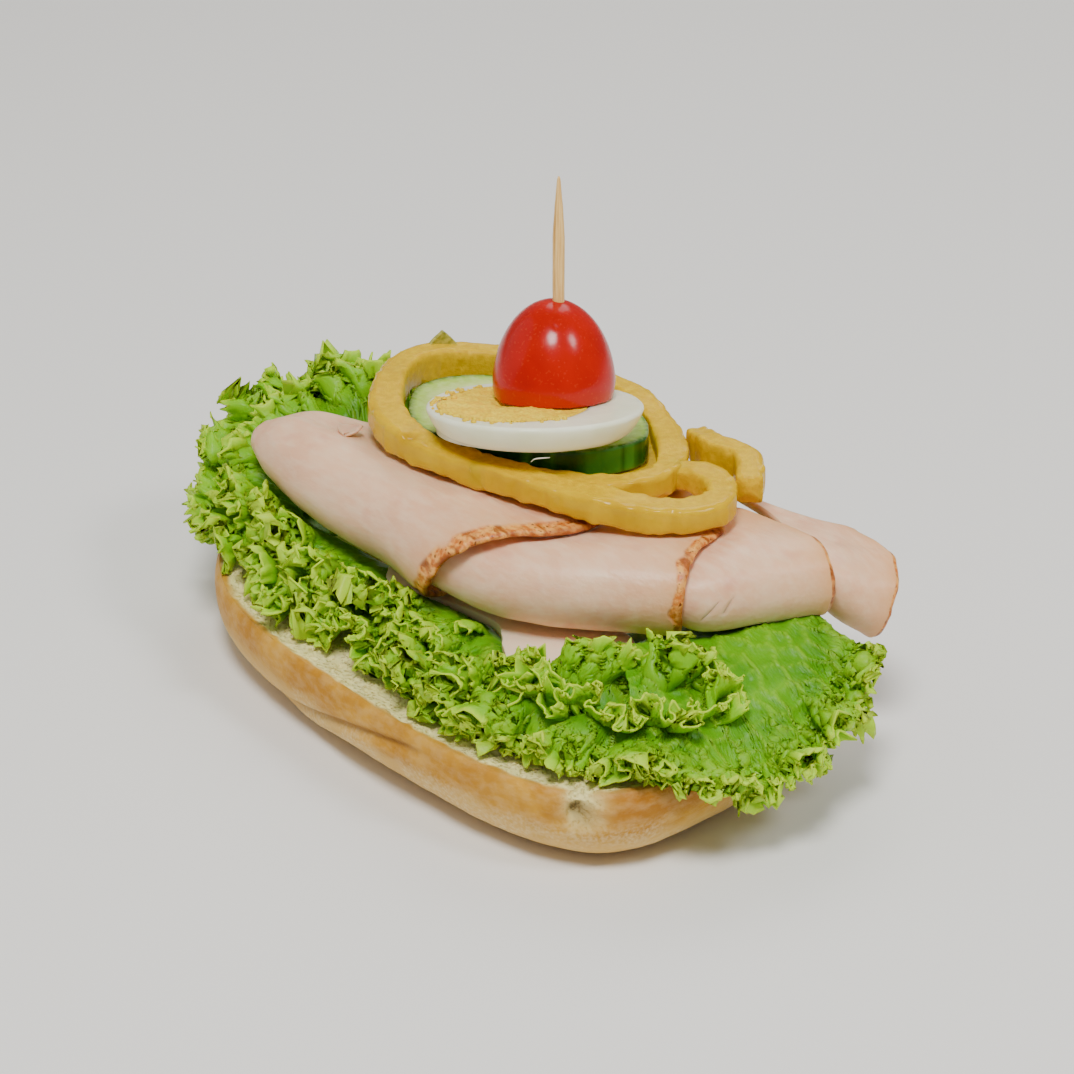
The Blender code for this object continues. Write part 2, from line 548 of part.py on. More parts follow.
def build_lettuce():
    """Three ruffled leaves: along the front, round the left end and the back, and at the right end."""
    green = (0.24, 0.5, 0.04)
    front = leaf_surface(LEAF_FRONT_ROOT, LEAF_FRONT_RIM, 92, 6, 7.0, 4.2, 0.4, 3.4, 1.7)
    front = keep_under_fold(rest_on_roll(front), FOLD_LINE, 20.8)
    left = leaf_surface(LEAF_LEFT_ROOT, LEAF_LEFT_RIM, 106, 5, 11.0, 1.2, 1.9, 3.8, 1.7)
    left = rest_on_roll(left)
    right = leaf_surface(LEAF_RIGHT_ROOT, LEAF_RIGHT_RIM, 60, 6, 5.0, 2.0, 3.1, 2.6, 1.3)
    right = keep_under_fold(rest_on_roll(right), FOLD_LINE, 20.8)
    return [sheet_solid(name, middle, LETTUCE_THICKNESS, green) for name, middle in (
        ("lettuce_front", front), ("lettuce_left", left), ("lettuce_right", right))]


def main():
    for found in list(bpy.data.objects):
        bpy.data.objects.remove(found, do_unlink=True)
    bpy.context.scene.unit_settings.system = "METRIC"
    roll = build_roll()
    build_lettuce()
    ham = build_ham()
    build_pepper()
    cucumber = build_cucumber()
    yolk = build_egg()
    tomato = build_tomato()
    build_stick()
    cut_for_stick(roll, -60.0, -35.0)
    cut_for_stick(ham[0], -30.0, -9.0)
    cut_for_stick(cucumber, -14.0, 0.2)
    cut_for_stick(yolk, -8.0, 1.6)
    cut_for_stick(tomato, -2.0, 30.0)


if __name__ == "__main__":
    main()
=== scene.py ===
"""Looks of an open sandwich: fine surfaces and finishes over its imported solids.

Sizes are in millimetres and become metres when a mesh is made. +Z is up, and the roll's base is at z = 0.
Each food is a class that works out its surface as whole numpy arrays and gives it a finish made from nodes.
"""

from __future__ import annotations

import logging
import math
from dataclasses import dataclass
from enum import Enum
from typing import Any, Sequence

import bpy
import numpy as np
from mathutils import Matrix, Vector

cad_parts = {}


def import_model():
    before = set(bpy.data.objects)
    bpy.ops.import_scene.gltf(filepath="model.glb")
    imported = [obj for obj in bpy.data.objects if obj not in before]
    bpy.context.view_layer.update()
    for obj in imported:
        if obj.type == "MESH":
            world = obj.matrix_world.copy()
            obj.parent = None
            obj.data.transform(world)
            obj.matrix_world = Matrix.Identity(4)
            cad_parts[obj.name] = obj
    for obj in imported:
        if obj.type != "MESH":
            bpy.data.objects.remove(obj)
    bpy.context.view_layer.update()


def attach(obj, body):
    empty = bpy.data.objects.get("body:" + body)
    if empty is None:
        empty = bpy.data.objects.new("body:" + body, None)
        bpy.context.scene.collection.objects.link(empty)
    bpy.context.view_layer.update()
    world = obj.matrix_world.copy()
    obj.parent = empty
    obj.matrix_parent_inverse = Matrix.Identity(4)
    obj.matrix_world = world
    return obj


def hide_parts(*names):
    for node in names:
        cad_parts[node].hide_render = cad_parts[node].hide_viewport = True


LOG = logging.getLogger("open_sandwich")
MM = 0.001
Array = np.ndarray
ROLL_HALF_LENGTH = 64.0
ROLL_HALF_WIDTH = 33.8
# Level directions away from the camera and to its right
AWAY = np.array((-0.766, 0.643, 0.0))
ACROSS = np.array((0.643, 0.766, 0.0))
# Where the stick passes through the tomato's cut face, and how strongly it leans away from the camera
STICK_POINT = np.array((-3.8, 22.7, 53.6))
STICK_LEAN = 0.158


class Slot(Enum):
    """Names of the material slots."""

    BREAD = "bread"
    LETTUCE = "lettuce"
    HAM = "ham"
    PEPPER = "sweet_pepper"
    CUCUMBER = "cucumber"
    EGG_WHITE = "egg_white"
    EGG_YOLK = "egg_yolk"
    TOMATO = "tomato"
    WOOD = "wood"


def to_linear(hex_colour: str) -> tuple[float, float, float, float]:
    """Turns an sRGB hex value into linear red, green, blue and alpha.

    Args:
        hex_colour: Six hex digits after a hash sign.

    Returns:
        The linear colour with alpha 1.
    """
    digits = hex_colour.lstrip("#")
    parts = [int(digits[i:i + 2], 16) / 255 for i in (0, 2, 4)]
    linear = [p / 12.92 if p <= 0.04045 else ((p + 0.055) / 1.055) ** 2.4 for p in parts]
    return (linear[0], linear[1], linear[2], 1.0)


def unit(vectors: Array) -> Array:
    """Scales vectors to length one."""
    return vectors / np.maximum(np.linalg.norm(vectors, axis=-1, keepdims=True), 1e-12)


def ease(low: float, high: float, values: Array) -> Array:
    """Smooth step: 0 at low, 1 at high, and three squares less two cubes between them."""
    t = np.clip((np.asarray(values, float) - low) / (high - low), 0.0, 1.0)
    return t * t * (3 - 2 * t)


def spline(points: Sequence | Array, samples: Array, closed: bool = False) -> Array:
    """Catmull-Rom curve through points along their first axis.

    Args:
        points: Control points, of any shape after the first axis.
        samples: Where to read the curve, from 0 to 1.
        closed: True when the last point joins the first.

    Returns:
        One value for each sample.
    """
    points = np.asarray(points, float)
    count = len(points)
    spans = count if closed else count - 1
    place = np.clip(np.asarray(samples, float), 0.0, 1.0) * spans
    index = np.minimum(place.astype(int), spans - 1)
    t = (place - index).reshape((-1,) + (1,) * (points.ndim - 1))
    if closed:
        a, b, c, d = (points[(index + offset) % count] for offset in (-1, 0, 1, 2))
    else:
        padded = np.concatenate([points[:1] * 2 - points[1:2], points, points[-1:] * 2 - points[-2:-1]])
        a, b, c, d = (padded[index + offset] for offset in (0, 1, 2, 3))
    return 0.5 * (2 * b + (c - a) * t + (2 * a - 5 * b + 4 * c - d) * t**2 + (3 * b - a - 3 * c + d) * t**3)


def even_samples(points: Sequence | Array, count: int, closed: bool = False) -> Array:
    """Finds samples that lie evenly along the spline through points.

    Args:
        points: Control points with x, y and z first.
        count: How many samples.
        closed: True when the curve closes on itself.

    Returns:
        Samples from 0 to 1.
    """
    fine = np.linspace(0.0, 1.0, 1200)
    path = spline(points, fine, closed)[:, :3]
    length = np.concatenate([[0.0], np.cumsum(np.linalg.norm(np.diff(path, axis=0), axis=1))])
    wanted = np.linspace(0.0, length[-1], count + 1 if closed else count)
    found = np.interp(wanted, length, fine)
    return found[:-1] if closed else found


def lattice_value(cells: Array, seed: int) -> Array:
    """Random value from -1 to 1 for each whole-number cell, the same on every run."""
    mixed = cells[..., 0] * 374761393 + cells[..., 1] * 668265263
    mixed = mixed + cells[..., 2] * 1442695041 + seed * 974711
    mixed = (mixed ^ (mixed >> 13)) * 1274126177
    mixed = mixed ^ (mixed >> 16)
    return (mixed & 0xFFFF) / 32767.5 - 1.0


def noise(points: Array, cell: float, seed: int = 0) -> Array:
    """Smooth random field: values at the corners of cubes, blended inside them.

    Args:
        points: Points whose last axis holds one to three coordinates in millimetres.
        cell: Side of a cube in millimetres.
        seed: Picks another field.

    Returns:
        Values from -1 to 1, one for each point.
    """
    points = np.asarray(points, float)
    if points.shape[-1] < 3:
        extra = np.zeros(points.shape[:-1] + (3 - points.shape[-1],))
        points = np.concatenate([points, extra], axis=-1)
    scaled = points / cell + 1000.0
    low = np.floor(scaled).astype(np.int64)
    t = scaled - low
    t = t * t * (3 - 2 * t)
    total = np.zeros(points.shape[:-1])
    for i in (0, 1):
        for j in (0, 1):
            for k in (0, 1):
                weight = (np.where(i, t[..., 0], 1 - t[..., 0]) * np.where(j, t[..., 1], 1 - t[..., 1])
                          * np.where(k, t[..., 2], 1 - t[..., 2]))
                total += weight * lattice_value(low + np.array((i, j, k)), seed)
    return total


def rough(points: Array, cell: float, seed: int = 0, layers: int = 3) -> Array:
    """Sum of noise fields, each half as large and half as strong as the one before."""
    found = [noise(points, cell / 2**i, seed + 17 * i) / 2**i for i in range(layers)]
    return np.sum(found, axis=0) / 1.6


def puffed_cells(flat: Array, size: float, seed: int) -> Array:
    """Puffed cells parted by veins: one jittered point in each square, and the gap between the two nearest.

    Args:
        flat: Points with two coordinates in millimetres.
        size: Side of a square in millimetres.
        seed: Picks another field.

    Returns:
        0 on a vein and up to 1 in the middle of a cell, for each point.
    """
    scaled = flat / size + 500.0
    low = np.floor(scaled).astype(np.int64)
    first = np.full(flat.shape[:-1], 9.0)
    second = np.full(flat.shape[:-1], 9.0)
    for i in (-1, 0, 1):
        for j in (-1, 0, 1):
            cell = low + np.array((i, j))
            cell = np.concatenate([cell, np.zeros(cell.shape[:-1] + (1,), np.int64)], axis=-1)
            jitter = np.stack([lattice_value(cell, seed), lattice_value(cell, seed + 7)], axis=-1)
            gap = np.linalg.norm(cell[..., :2] + 0.5 + 0.42 * jitter - scaled, axis=-1)
            second = np.minimum(second, np.maximum(first, gap))
            first = np.minimum(first, gap)
    return np.clip((second - first) * 1.4, 0.0, 1.0)


def grid_quads(rows: int, columns: int, wrap_rows: bool = False, wrap_columns: bool = False) -> Array:
    """Quads of a grid of points, wound so that the normal is along-rows cross along-columns.

    Args:
        rows: Points along the first axis.
        columns: Points along the second axis.
        wrap_rows: True when the last row joins the first.
        wrap_columns: True when the last column joins the first.

    Returns:
        Corner numbers, four for each quad.
    """
    i, j = np.meshgrid(np.arange(rows if wrap_rows else rows - 1),
                       np.arange(columns if wrap_columns else columns - 1), indexing="ij")
    here, below = i * columns, (i + 1) % rows * columns
    after = (j + 1) % columns
    return np.stack([here + j, below + j, below + after, here + after], axis=-1).reshape(-1, 4)


def gradient(surface: Array, axis: int, wrap: bool = False) -> Array:
    """Difference of a grid of points along one axis, joined at its ends where it wraps."""
    if wrap:
        return (np.roll(surface, -1, axis=axis) - np.roll(surface, 1, axis=axis)) / 2
    return np.gradient(surface, axis=axis)


def normals_of(surface: Array, wrap_rows: bool = False, wrap_columns: bool = False) -> Array:
    """Unit normals of a grid of points: along-rows cross along-columns."""
    return unit(np.cross(gradient(surface, 0, wrap_rows), gradient(surface, 1, wrap_columns)))


def travel_along(line: Array) -> Array:
    """Distance travelled from the first point to each point of a line."""
    return np.concatenate([[0.0], np.cumsum(np.linalg.norm(np.diff(line, axis=0), axis=1))])


def turns(count: int) -> Array:
    """Angles of points spaced evenly round a circle."""
    return np.linspace(0.0, 2 * math.pi, count, endpoint=False)


def spokes(angle: Array, first: Array, second: Array) -> Array:
    """Direction at each angle, turned from a first unit vector towards a second."""
    return np.cos(angle)[:, None] * first + np.sin(angle)[:, None] * second


@dataclass
class Shape:
    """Points in millimetres, the quads and triangles on them, and a named value for each point."""

    points: Array
    quads: Array
    triangles: Array
    marks: dict[str, Array]


def closed_rings(rings: Array, marks: dict[str, Array] | None = None, wrap: bool = False) -> Shape:
    """A closed solid from rings of points, with a fan at each end or its last ring joined to its first.

    Args:
        rings: Grid of points, one ring per row.
        marks: Named values on the same grid.
        wrap: True when the rings close on themselves, as in a hoop.

    Returns:
        The shape, whose normal is along-rings cross around-ring.
    """
    rows, columns = rings.shape[:2]
    quads = grid_quads(rows, columns, wrap, True)
    points = rings.reshape(-1, 3)
    values = {name: grid.reshape(-1) for name, grid in (marks or {}).items()}
    if wrap:
        return Shape(points, quads, np.zeros((0, 3), int), values)
    around = np.arange(columns)
    after = (around + 1) % columns
    count = rows * columns
    last_row = count - columns
    first = np.stack([np.full(columns, count), around, after], axis=-1)
    last = np.stack([np.full(columns, count + 1), last_row + after, last_row + around], axis=-1)
    points = np.concatenate([points, [rings[0].mean(axis=0)], [rings[-1].mean(axis=0)]])
    values = {name: np.concatenate([value, [value[:columns].mean()], [value[-columns:].mean()]])
              for name, value in values.items()}
    return Shape(points, quads, np.concatenate([first, last]), values)


def two_sided(middle: Array, thickness: Array | float, marks: dict[str, Array] | None = None) -> Shape:
    """A thin closed solid: the middle surface moved half its thickness to each side, with a strip round it.

    Args:
        middle: Grid of points.
        thickness: Thickness at each point, or one for all.
        marks: Named values on the same grid.

    Returns:
        The closed shape.
    """
    rows, columns = middle.shape[:2]
    half = np.broadcast_to(np.asarray(thickness, float), (rows, columns))[..., None] / 2
    normal = normals_of(middle)
    count = rows * columns
    top = grid_quads(rows, columns)
    border = np.concatenate([np.arange(columns), np.arange(1, rows) * columns + columns - 1,
                             (rows - 1) * columns + np.arange(columns - 2, -1, -1),
                             np.arange(rows - 2, 0, -1) * columns])
    following = np.roll(border, -1)
    strip = np.stack([border, following, following + count, border + count], axis=-1)
    both = (middle + normal * half, middle - normal * half)
    points = np.concatenate([side.reshape(-1, 3) for side in both])
    values = {name: np.tile(np.broadcast_to(grid, (rows, columns)).reshape(-1), 2)
              for name, grid in (marks or {}).items()}
    return Shape(points, np.concatenate([top, top[:, ::-1] + count, strip]), np.zeros((0, 3), int), values)


def joined(shapes: Sequence[Shape]) -> Shape:
    """Several closed shapes as one, each keeping its own faces."""
    start = np.cumsum([0] + [len(shape.points) for shape in shapes[:-1]])
    names = shapes[0].marks.keys()
    return Shape(np.concatenate([shape.points for shape in shapes]),
                 np.concatenate([shape.quads + first for shape, first in zip(shapes, start)]),
                 np.concatenate([shape.triangles + first for shape, first in zip(shapes, start)]),
                 {name: np.concatenate([shape.marks[name] for shape in shapes]) for name in names})


def make_piece(name: str, shape: Shape, material: bpy.types.Material,
               nodes: Sequence[str] = ()) -> bpy.types.Object:
    """Makes one scene piece from a shape, rides it on the body and lets it stand for its solids.

    Args:
        name: Name of the piece.
        shape: Its faces and points in millimetres.
        material: Its finish.
        nodes: Solids that it stands for.

    Returns:
        The new object, at the origin.
    """
    points = shape.points * MM
    quads, triangles = shape.quads, shape.triangles
    a, b, c, d = (points[quads[:, i]] for i in range(4))
    volume = np.einsum("ij,ij->", a, np.cross(b, c)) + np.einsum("ij,ij->", a, np.cross(c, d))
    if len(triangles):
        e, f, g = (points[triangles[:, i]] for i in range(3))
        volume += np.einsum("ij,ij->", e, np.cross(f, g))
    if volume < 0:
        quads, triangles = quads[:, ::-1], triangles[:, ::-1]
    corners = np.concatenate([quads.reshape(-1), triangles.reshape(-1)]).astype(np.int32)
    sizes = np.concatenate([np.full(len(quads), 4), np.full(len(triangles), 3)])
    mesh = bpy.data.meshes.new(name)
    mesh.vertices.add(len(points))
    mesh.vertices.foreach_set("co", points.astype(np.float32).reshape(-1))
    mesh.loops.add(len(corners))
    mesh.loops.foreach_set("vertex_index", corners)
    mesh.polygons.add(len(sizes))
    mesh.polygons.foreach_set("loop_start", np.concatenate([[0], np.cumsum(sizes)[:-1]]).astype(np.int32))
    mesh.polygons.foreach_set("use_smooth", np.ones(len(sizes), bool))
    mesh.update(calc_edges=True)
    mesh.validate()
    for mark, values in shape.marks.items():
        attribute = mesh.attributes.new(mark, "FLOAT", "POINT")
        attribute.data.foreach_set("value", np.asarray(values, np.float32))
    mesh.materials.append(material)
    piece = bpy.data.objects.new(name, mesh)
    bpy.context.scene.collection.objects.link(piece)
    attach(piece, "root")
    if nodes:
        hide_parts(*nodes)
    LOG.info("%s: %d triangles", name, 2 * len(quads) + len(triangles))
    return piece


class Finish:
    """Base of the finishes: one Principled material, and short ways to add nodes to it."""

    name = "finish"

    def __init__(self) -> None:
        """Makes the material, and finds its shader and its coordinates in metres."""
        self.material = bpy.data.materials.new(self.name)
        self.material.use_nodes = True
        self.tree = self.material.node_tree
        self.shader = self.tree.nodes["Principled BSDF"]
        self.where = self.add("TexCoord").outputs["Object"]
        self.bump = None

    def add(self, kind: str, inputs: dict | None = None, stops: Sequence = (),
            **settings: Any) -> bpy.types.Node:
        """Adds one shader node with its settings, values and links.

        Args:
            kind: The node's type, without its ShaderNode prefix.
            inputs: A value, or an output socket to link, for each input's name or number.
            stops: Colour ramp stops, each a place from 0 to 1 and a hex colour.
            **settings: The node's own properties.

        Returns:
            The new node.
        """
        node = self.tree.nodes.new("ShaderNode" + kind)
        for key, value in settings.items():
            setattr(node, key, value)
        for key, value in (inputs or {}).items():
            if isinstance(value, bpy.types.NodeSocket):
                self.tree.links.new(value, node.inputs[key])
            else:
                node.inputs[key].default_value = value
        for number, (place, colour) in enumerate(stops):
            ramp = node.color_ramp.elements
            stop = ramp[number] if number < 2 else ramp.new(place)
            stop.position = place
            stop.color = to_linear(colour)
        return node

    def mark(self, name: str) -> bpy.types.NodeSocket:
        """Reads one of the mesh's named values."""
        return self.add("Attribute", attribute_name=name).outputs["Fac"]

    def product(self, first: Any, second: Any) -> bpy.types.NodeSocket:
        """Multiplies two values."""
        return self.add("Math", {0: first, 1: second}, operation="MULTIPLY").outputs[0]

    def blend(self, share: Any, first: Any, second: Any) -> bpy.types.NodeSocket:
        """Mixes two colours.

        Args:
            share: How much of the second colour, as a number or a socket.
            first: Hex colour or socket.
            second: Hex colour or socket.

        Returns:
            The mixed colour's socket.
        """
        first, second = (to_linear(c) if isinstance(c, str) else c for c in (first, second))
        inputs = {0: share, 6: first, 7: second}
        return self.add("Mix", inputs, data_type="RGBA", clamp_factor=True).outputs[2]

    def field(self, size_mm: float, detail: float, where: Any = None) -> bpy.types.NodeSocket:
        """Noise in blotches of a real size, on the object's own coordinates unless others are given."""
        place = self.where if where is None else where
        inputs = {"Vector": place, "Scale": 1 / (size_mm * MM), "Detail": detail}
        return self.add("TexNoise", inputs).outputs[0]

    def speckle(self, size_mm: float, low: float, high: float, detail: float = 3.0,
                where: Any = None) -> bpy.types.NodeSocket:
        """Noise turned into a share from 0 to 1: nothing below low, all above high.

        Args:
            size_mm: Size of one blotch.
            low: Noise value that gives 0.
            high: Noise value that gives 1.
            detail: Layers of finer noise.
            where: Coordinates socket, in metres, where it isn't the object's own.

        Returns:
            The share's socket.
        """
        inputs = {"Value": self.field(size_mm, detail, where), "From Min": low, "From Max": high}
        return self.add("MapRange", inputs, clamp=True).outputs[0]

    def stretched(self, turn: float, scale: tuple[float, float, float]) -> bpy.types.NodeSocket:
        """The object's coordinates turned about z and scaled, so that noise on them runs one way."""
        inputs = {"Vector": self.where, "Rotation": (0.0, 0.0, turn), "Scale": scale}
        return self.add("Mapping", inputs).outputs[0]

    def relief(self, height: Any, depth_mm: float) -> None:
        """Bumps the surface by a real depth, over any bump made before."""
        inputs = {"Height": height, "Distance": depth_mm * MM, "Strength": 1.0}
        if self.bump is not None:
            inputs["Normal"] = self.bump
        self.bump = self.add("Bump", inputs).outputs[0]
        self.tree.links.new(self.bump, self.shader.inputs["Normal"])

    def paint(self, colour: bpy.types.NodeSocket) -> None:
        """Gives the shader its colour."""
        self.tree.links.new(colour, self.shader.inputs["Base Color"])

    def shine(self, share: bpy.types.NodeSocket, first: float, second: float) -> None:
        """Gives the shader one roughness where share is 0 and another where it is 1."""
        ramp = self.add("MapRange", {"Value": share, "To Min": first, "To Max": second})
        self.tree.links.new(ramp.outputs[0], self.shader.inputs["Roughness"])

    def settle(self, values: dict[str, Any]) -> None:
        """Sets the shader's own sockets to constants."""
        for socket, value in values.items():
            self.shader.inputs[socket].default_value = value

    def glow(self, share: float, reach_mm: float, colours: tuple[float, float, float]) -> None:
        """Lets light into a soft food and out nearby: its share, how far it goes, and that of each colour."""
        self.settle({"Subsurface Weight": share, "Subsurface Scale": reach_mm * MM,
                     "Subsurface Radius": colours})


class BakedRoll(Finish):
    """Wheat roll, baked and dusted with flour, then sliced: a thin golden crust over a cream crumb."""

    name = "baked_wheat_roll"

    def build(self) -> bpy.types.Material:
        """Mixes crust, flour dust and crumb by the mesh's own values, and paints shade into the crease, the
        hole and the pores.
        """
        crumb = self.mark("crumb")
        toast = self.mark("toast")
        golden = self.blend(self.speckle(6.0, 0.36, 0.66, 4.0), "#BA7E12", "#D29A2A")
        browned = self.blend(toast, "#E2BC68", golden)
        burnt = self.add("Math", {0: toast, 1: 1.35}, operation="SUBTRACT", use_clamp=True).outputs[0]
        crust = self.blend(burnt, browned, "#A05E16")
        # Wrinkles are 1.3 mm high and twice as long, so that they run along the crust
        wrinkle = self.speckle(1.3, 0.4, 0.64, 4.0, self.stretched(0.0, (0.5, 0.5, 1.0)))
        crust = self.blend(self.product(wrinkle, 0.22), crust, "#E9C888")
        dust = self.product(self.speckle(0.7, 0.4, 0.75, 4.0), self.mark("flour"))
        crust = self.blend(self.product(dust, 0.75), crust, "#F0DCA8")
        # Painted shade: the crust is darkened along the crease, where shade falls in it
        crust = self.blend(self.mark("crease"), crust, "#8C5A20")
        # Painted shade: the crumb is darker in the low parts of its pores and paler on their rims, by the
        # same field that bumps them
        pore = self.speckle(0.7, 0.3, 0.48, 3.0)
        soft = self.blend(pore, "#E8CC6C", "#FFEE9C")
        soft = self.blend(self.speckle(5.0, 0.35, 0.65, 2.0), soft, self.blend(0.5, soft, "#FFF3B0"))
        # Painted shade: the hole below the notch is painted dark brown inside
        self.paint(self.blend(self.mark("hole"), self.blend(crumb, crust, soft), "#5E3A12"))
        # A baked crust has a faint shine, and an open crumb has none
        self.shine(crumb, 0.52, 0.92)
        self.settle({"IOR": 1.4, "Specular IOR Level": 0.3})
        # The crust's skin crackles at 0.6 mm, and the crumb's pores are 0.7 mm wide
        self.relief(self.field(0.6, 4.0), 0.12)
        self.relief(wrinkle, 0.07)
        self.relief(self.product(pore, crumb), 0.3)
        self.glow(0.12, 2.0, (1.0, 0.75, 0.4))
        return self.material


class LettuceBlade(Finish):
    """Fresh curled lettuce: a thin waxy blade, pale at its rim and veins, with painted shade deep green in
    its folds.
    """

    name = "curled_lettuce_blade"

    def build(self) -> bpy.types.Material:
        """Greens by distance from the rim, with painted shade in the folds, paler veins and a bright cut
        edge.
        """
        vein = self.add("Math", {0: self.mark("vein"), 1: 5.0}, operation="POWER").outputs[0]
        green = self.blend(self.speckle(9.0, 0.35, 0.65, 2.0), "#5FA600", "#80C40A")
        # Painted shade: the folds, where the ruffles dip, are painted a deep green
        green = self.blend(self.mark("fold"), "#2E7400", green)
        green = self.blend(self.mark("tip"), green, "#8CC800")
        green = self.blend(self.product(vein, 0.3), green, "#A8D030")
        self.paint(self.blend(self.mark("edge"), green, "#BCE22C"))
        self.settle({"Roughness": 0.4, "IOR": 1.4, "Specular IOR Level": 0.3})
        # The blade's skin is dimpled at about a millimetre between its veins
        self.relief(self.field(1.2, 3.0), 0.14)
        self.glow(0.3, 1.2, (0.5, 1.0, 0.05))
        return self.material


class CookedHam(Finish):
    """Cooked ham sliced just under 2 mm thick: moist fine-grained meat with a browned, spiced rind."""

    name = "cooked_sliced_ham"

    def build(self) -> bpy.types.Material:
        """Pink-beige meat with short fibres, shading into tan and then a mottled brown rind."""
        rind = self.mark("rind")
        along = self.stretched(0.5, (0.35, 1.0, 1.0))
        meat = self.blend(self.speckle(14.0, 0.3, 0.7, 2.0), "#EBB38C", "#F6C9A2")
        meat = self.blend(self.product(self.speckle(1.6, 0.4, 0.66, 4.0, along), 0.55), meat, "#F8D6B4")
        meat = self.blend(self.product(self.speckle(5.0, 0.62, 0.78, 1.0), 0.35), meat, "#DE9078")
        meat = self.blend(self.mark("pale"), meat, "#F4DCBE")
        meat = self.blend(self.mark("tan"), meat, "#E3A460")
        crackle = self.speckle(1.1, 0.38, 0.6, 4.0)
        brown = self.blend(crackle, "#CE7226", "#F6B25C")
        brown = self.blend(self.speckle(0.9, 0.64, 0.72, 1.0), brown, "#70340C")
        streak = self.speckle(1.6, 0.52, 0.66, 3.0, self.stretched(0.3, (0.3, 1.0, 0.6)))
        brown = self.blend(streak, brown, "#A0551A")
        brown = self.blend(self.mark("char"), brown, "#8A3E0C")
        # Painted shade: the slits are painted darker where they sink into the meat
        self.paint(self.blend(self.mark("slit"), self.blend(rind, meat, brown), "#A8705A"))
        self.settle({"Roughness": 0.36, "IOR": 1.4})
        self.relief(self.field(0.8, 4.0, along), 0.11)
        self.relief(self.product(crackle, rind), 0.07)
        self.glow(0.3, 2.2, (1.0, 0.45, 0.3))
        return self.material


class SweetPepper(Finish):
    """Raw yellow sweet pepper, cut in strips: a waxy deep yellow skin and wet paler flesh."""

    name = "raw_yellow_pepper"

    def build(self) -> bpy.types.Material:
        """Deep yellow skin, paler on cut flesh, with wet ripples, small pits and painted shade in the crease.
        """
        flesh = self.mark("flesh")
        skin = self.blend(self.speckle(5.0, 0.35, 0.65, 3.0), "#CCA200", "#DAB200")
        pale = self.blend(self.speckle(1.2, 0.4, 0.65, 3.0), "#D4AA00", "#E4BC08")
        # Painted shade: the crease where the strip pinches in is painted darker
        self.paint(self.blend(self.mark("crease"), self.blend(flesh, skin, pale), "#B48200"))
        self.shine(flesh, 0.17, 0.34)
        self.settle({"IOR": 1.4, "Specular IOR Level": 0.25})
        self.relief(self.field(1.7, 3.0), 0.16)
        self.relief(self.product(self.field(0.35, 2.0), flesh), 0.1)
        self.glow(0.25, 2.0, (1.0, 0.6, 0.05))
        return self.material


class Cucumber(Finish):
    """Raw cucumber slice: dark ridged skin, and wet flesh that pales towards its seeds."""

    name = "raw_cucumber_slice"

    def build(self) -> bpy.types.Material:
        """Skin stripes by angle, then flesh by distance from the skin."""
        green = self.blend(self.mark("stripe"), "#174E10", "#4C922C")
        ring = self.add("ValToRGB", {"Fac": self.mark("inner")},
                        ((0.0, "#235E0C"), (0.045, "#A6CC44"), (0.16, "#CBE080"), (0.3, "#BBD866"),
                         (0.5, "#C6DE74"), (0.7, "#D8EA9C"))).outputs[0]
        meat = self.blend(self.product(self.speckle(1.6, 0.4, 0.65, 3.0), 0.3), ring, "#E2F0A8")
        self.paint(self.blend(self.mark("skin"), meat, green))
        self.settle({"Roughness": 0.24, "IOR": 1.4})
        self.relief(self.field(1.4, 3.0), 0.15)
        self.glow(0.3, 2.5, (0.6, 1.0, 0.3))
        return self.material


class BoiledWhite(Finish):
    """White of a hard-boiled egg: smooth set protein with a soft sheen."""

    name = "boiled_egg_white"

    def build(self) -> bpy.types.Material:
        """Warm white in two close tones, over a very shallow unevenness."""
        self.paint(self.blend(self.speckle(8.0, 0.35, 0.65, 2.0), "#F2F5D0", "#FCFFDE"))
        self.settle({"Roughness": 0.24, "IOR": 1.38})
        self.relief(self.field(3.0, 2.0), 0.12)
        self.glow(0.4, 3.0, (1.0, 0.9, 0.7))
        return self.material


class BoiledYolk(Finish):
    """Yolk of a hard-boiled egg, cut dry: it crumbles into grains under a millimetre wide."""

    name = "boiled_egg_yolk"

    def build(self) -> bpy.types.Material:
        """Pale to deep yellow grains, with painted shade darkening the gaps between them."""
        grains = self.add("TexVoronoi", {"Vector": self.where, "Scale": 1 / (0.8 * MM), "Randomness": 1.0})
        from_middle = grains.outputs["Distance"]
        body = self.blend(self.speckle(3.0, 0.35, 0.65, 4.0), "#F4C800", "#FFE034")
        # Painted shade: the gaps between grains, which the bump sinks, are painted darker
        gap = self.add("MapRange", {"Value": from_middle, "From Min": 0.35, "From Max": 0.75, "To Max": 0.5})
        self.paint(self.blend(gap.outputs[0], body, "#DCA814"))
        self.settle({"Roughness": 0.85})
        self.relief(self.add("Math", {0: 1.0, 1: from_middle}, operation="SUBTRACT").outputs[0], 0.2)
        self.relief(self.field(0.5, 4.0), 0.2)
        self.glow(0.15, 1.5, (1.0, 0.7, 0.2))
        return self.material


class TomatoSkin(Finish):
    """Skin of a ripe cherry tomato: a taut clear wax over red flesh."""

    name = "cherry_tomato_skin"

    def build(self) -> bpy.types.Material:
        """Deep red with a slightly orange foot, fine pale dots and a clear coat."""
        body = self.blend(self.speckle(7.0, 0.35, 0.65, 2.0), "#B20800", "#BE0C00")
        body = self.blend(self.mark("low"), body, "#C42004")
        body = self.blend(self.product(self.speckle(0.5, 0.68, 0.75, 0.0), 0.18), body, "#E05020")
        self.paint(self.blend(self.mark("cut"), body, "#D9573A"))
        self.settle({"Roughness": 0.22, "IOR": 1.46, "Specular IOR Level": 0.2, "Coat Weight": 0.2,
                     "Coat Roughness": 0.13})
        self.relief(self.field(4.0, 2.0), 0.1)
        self.glow(0.3, 2.0, (1.0, 0.25, 0.08))
        return self.material


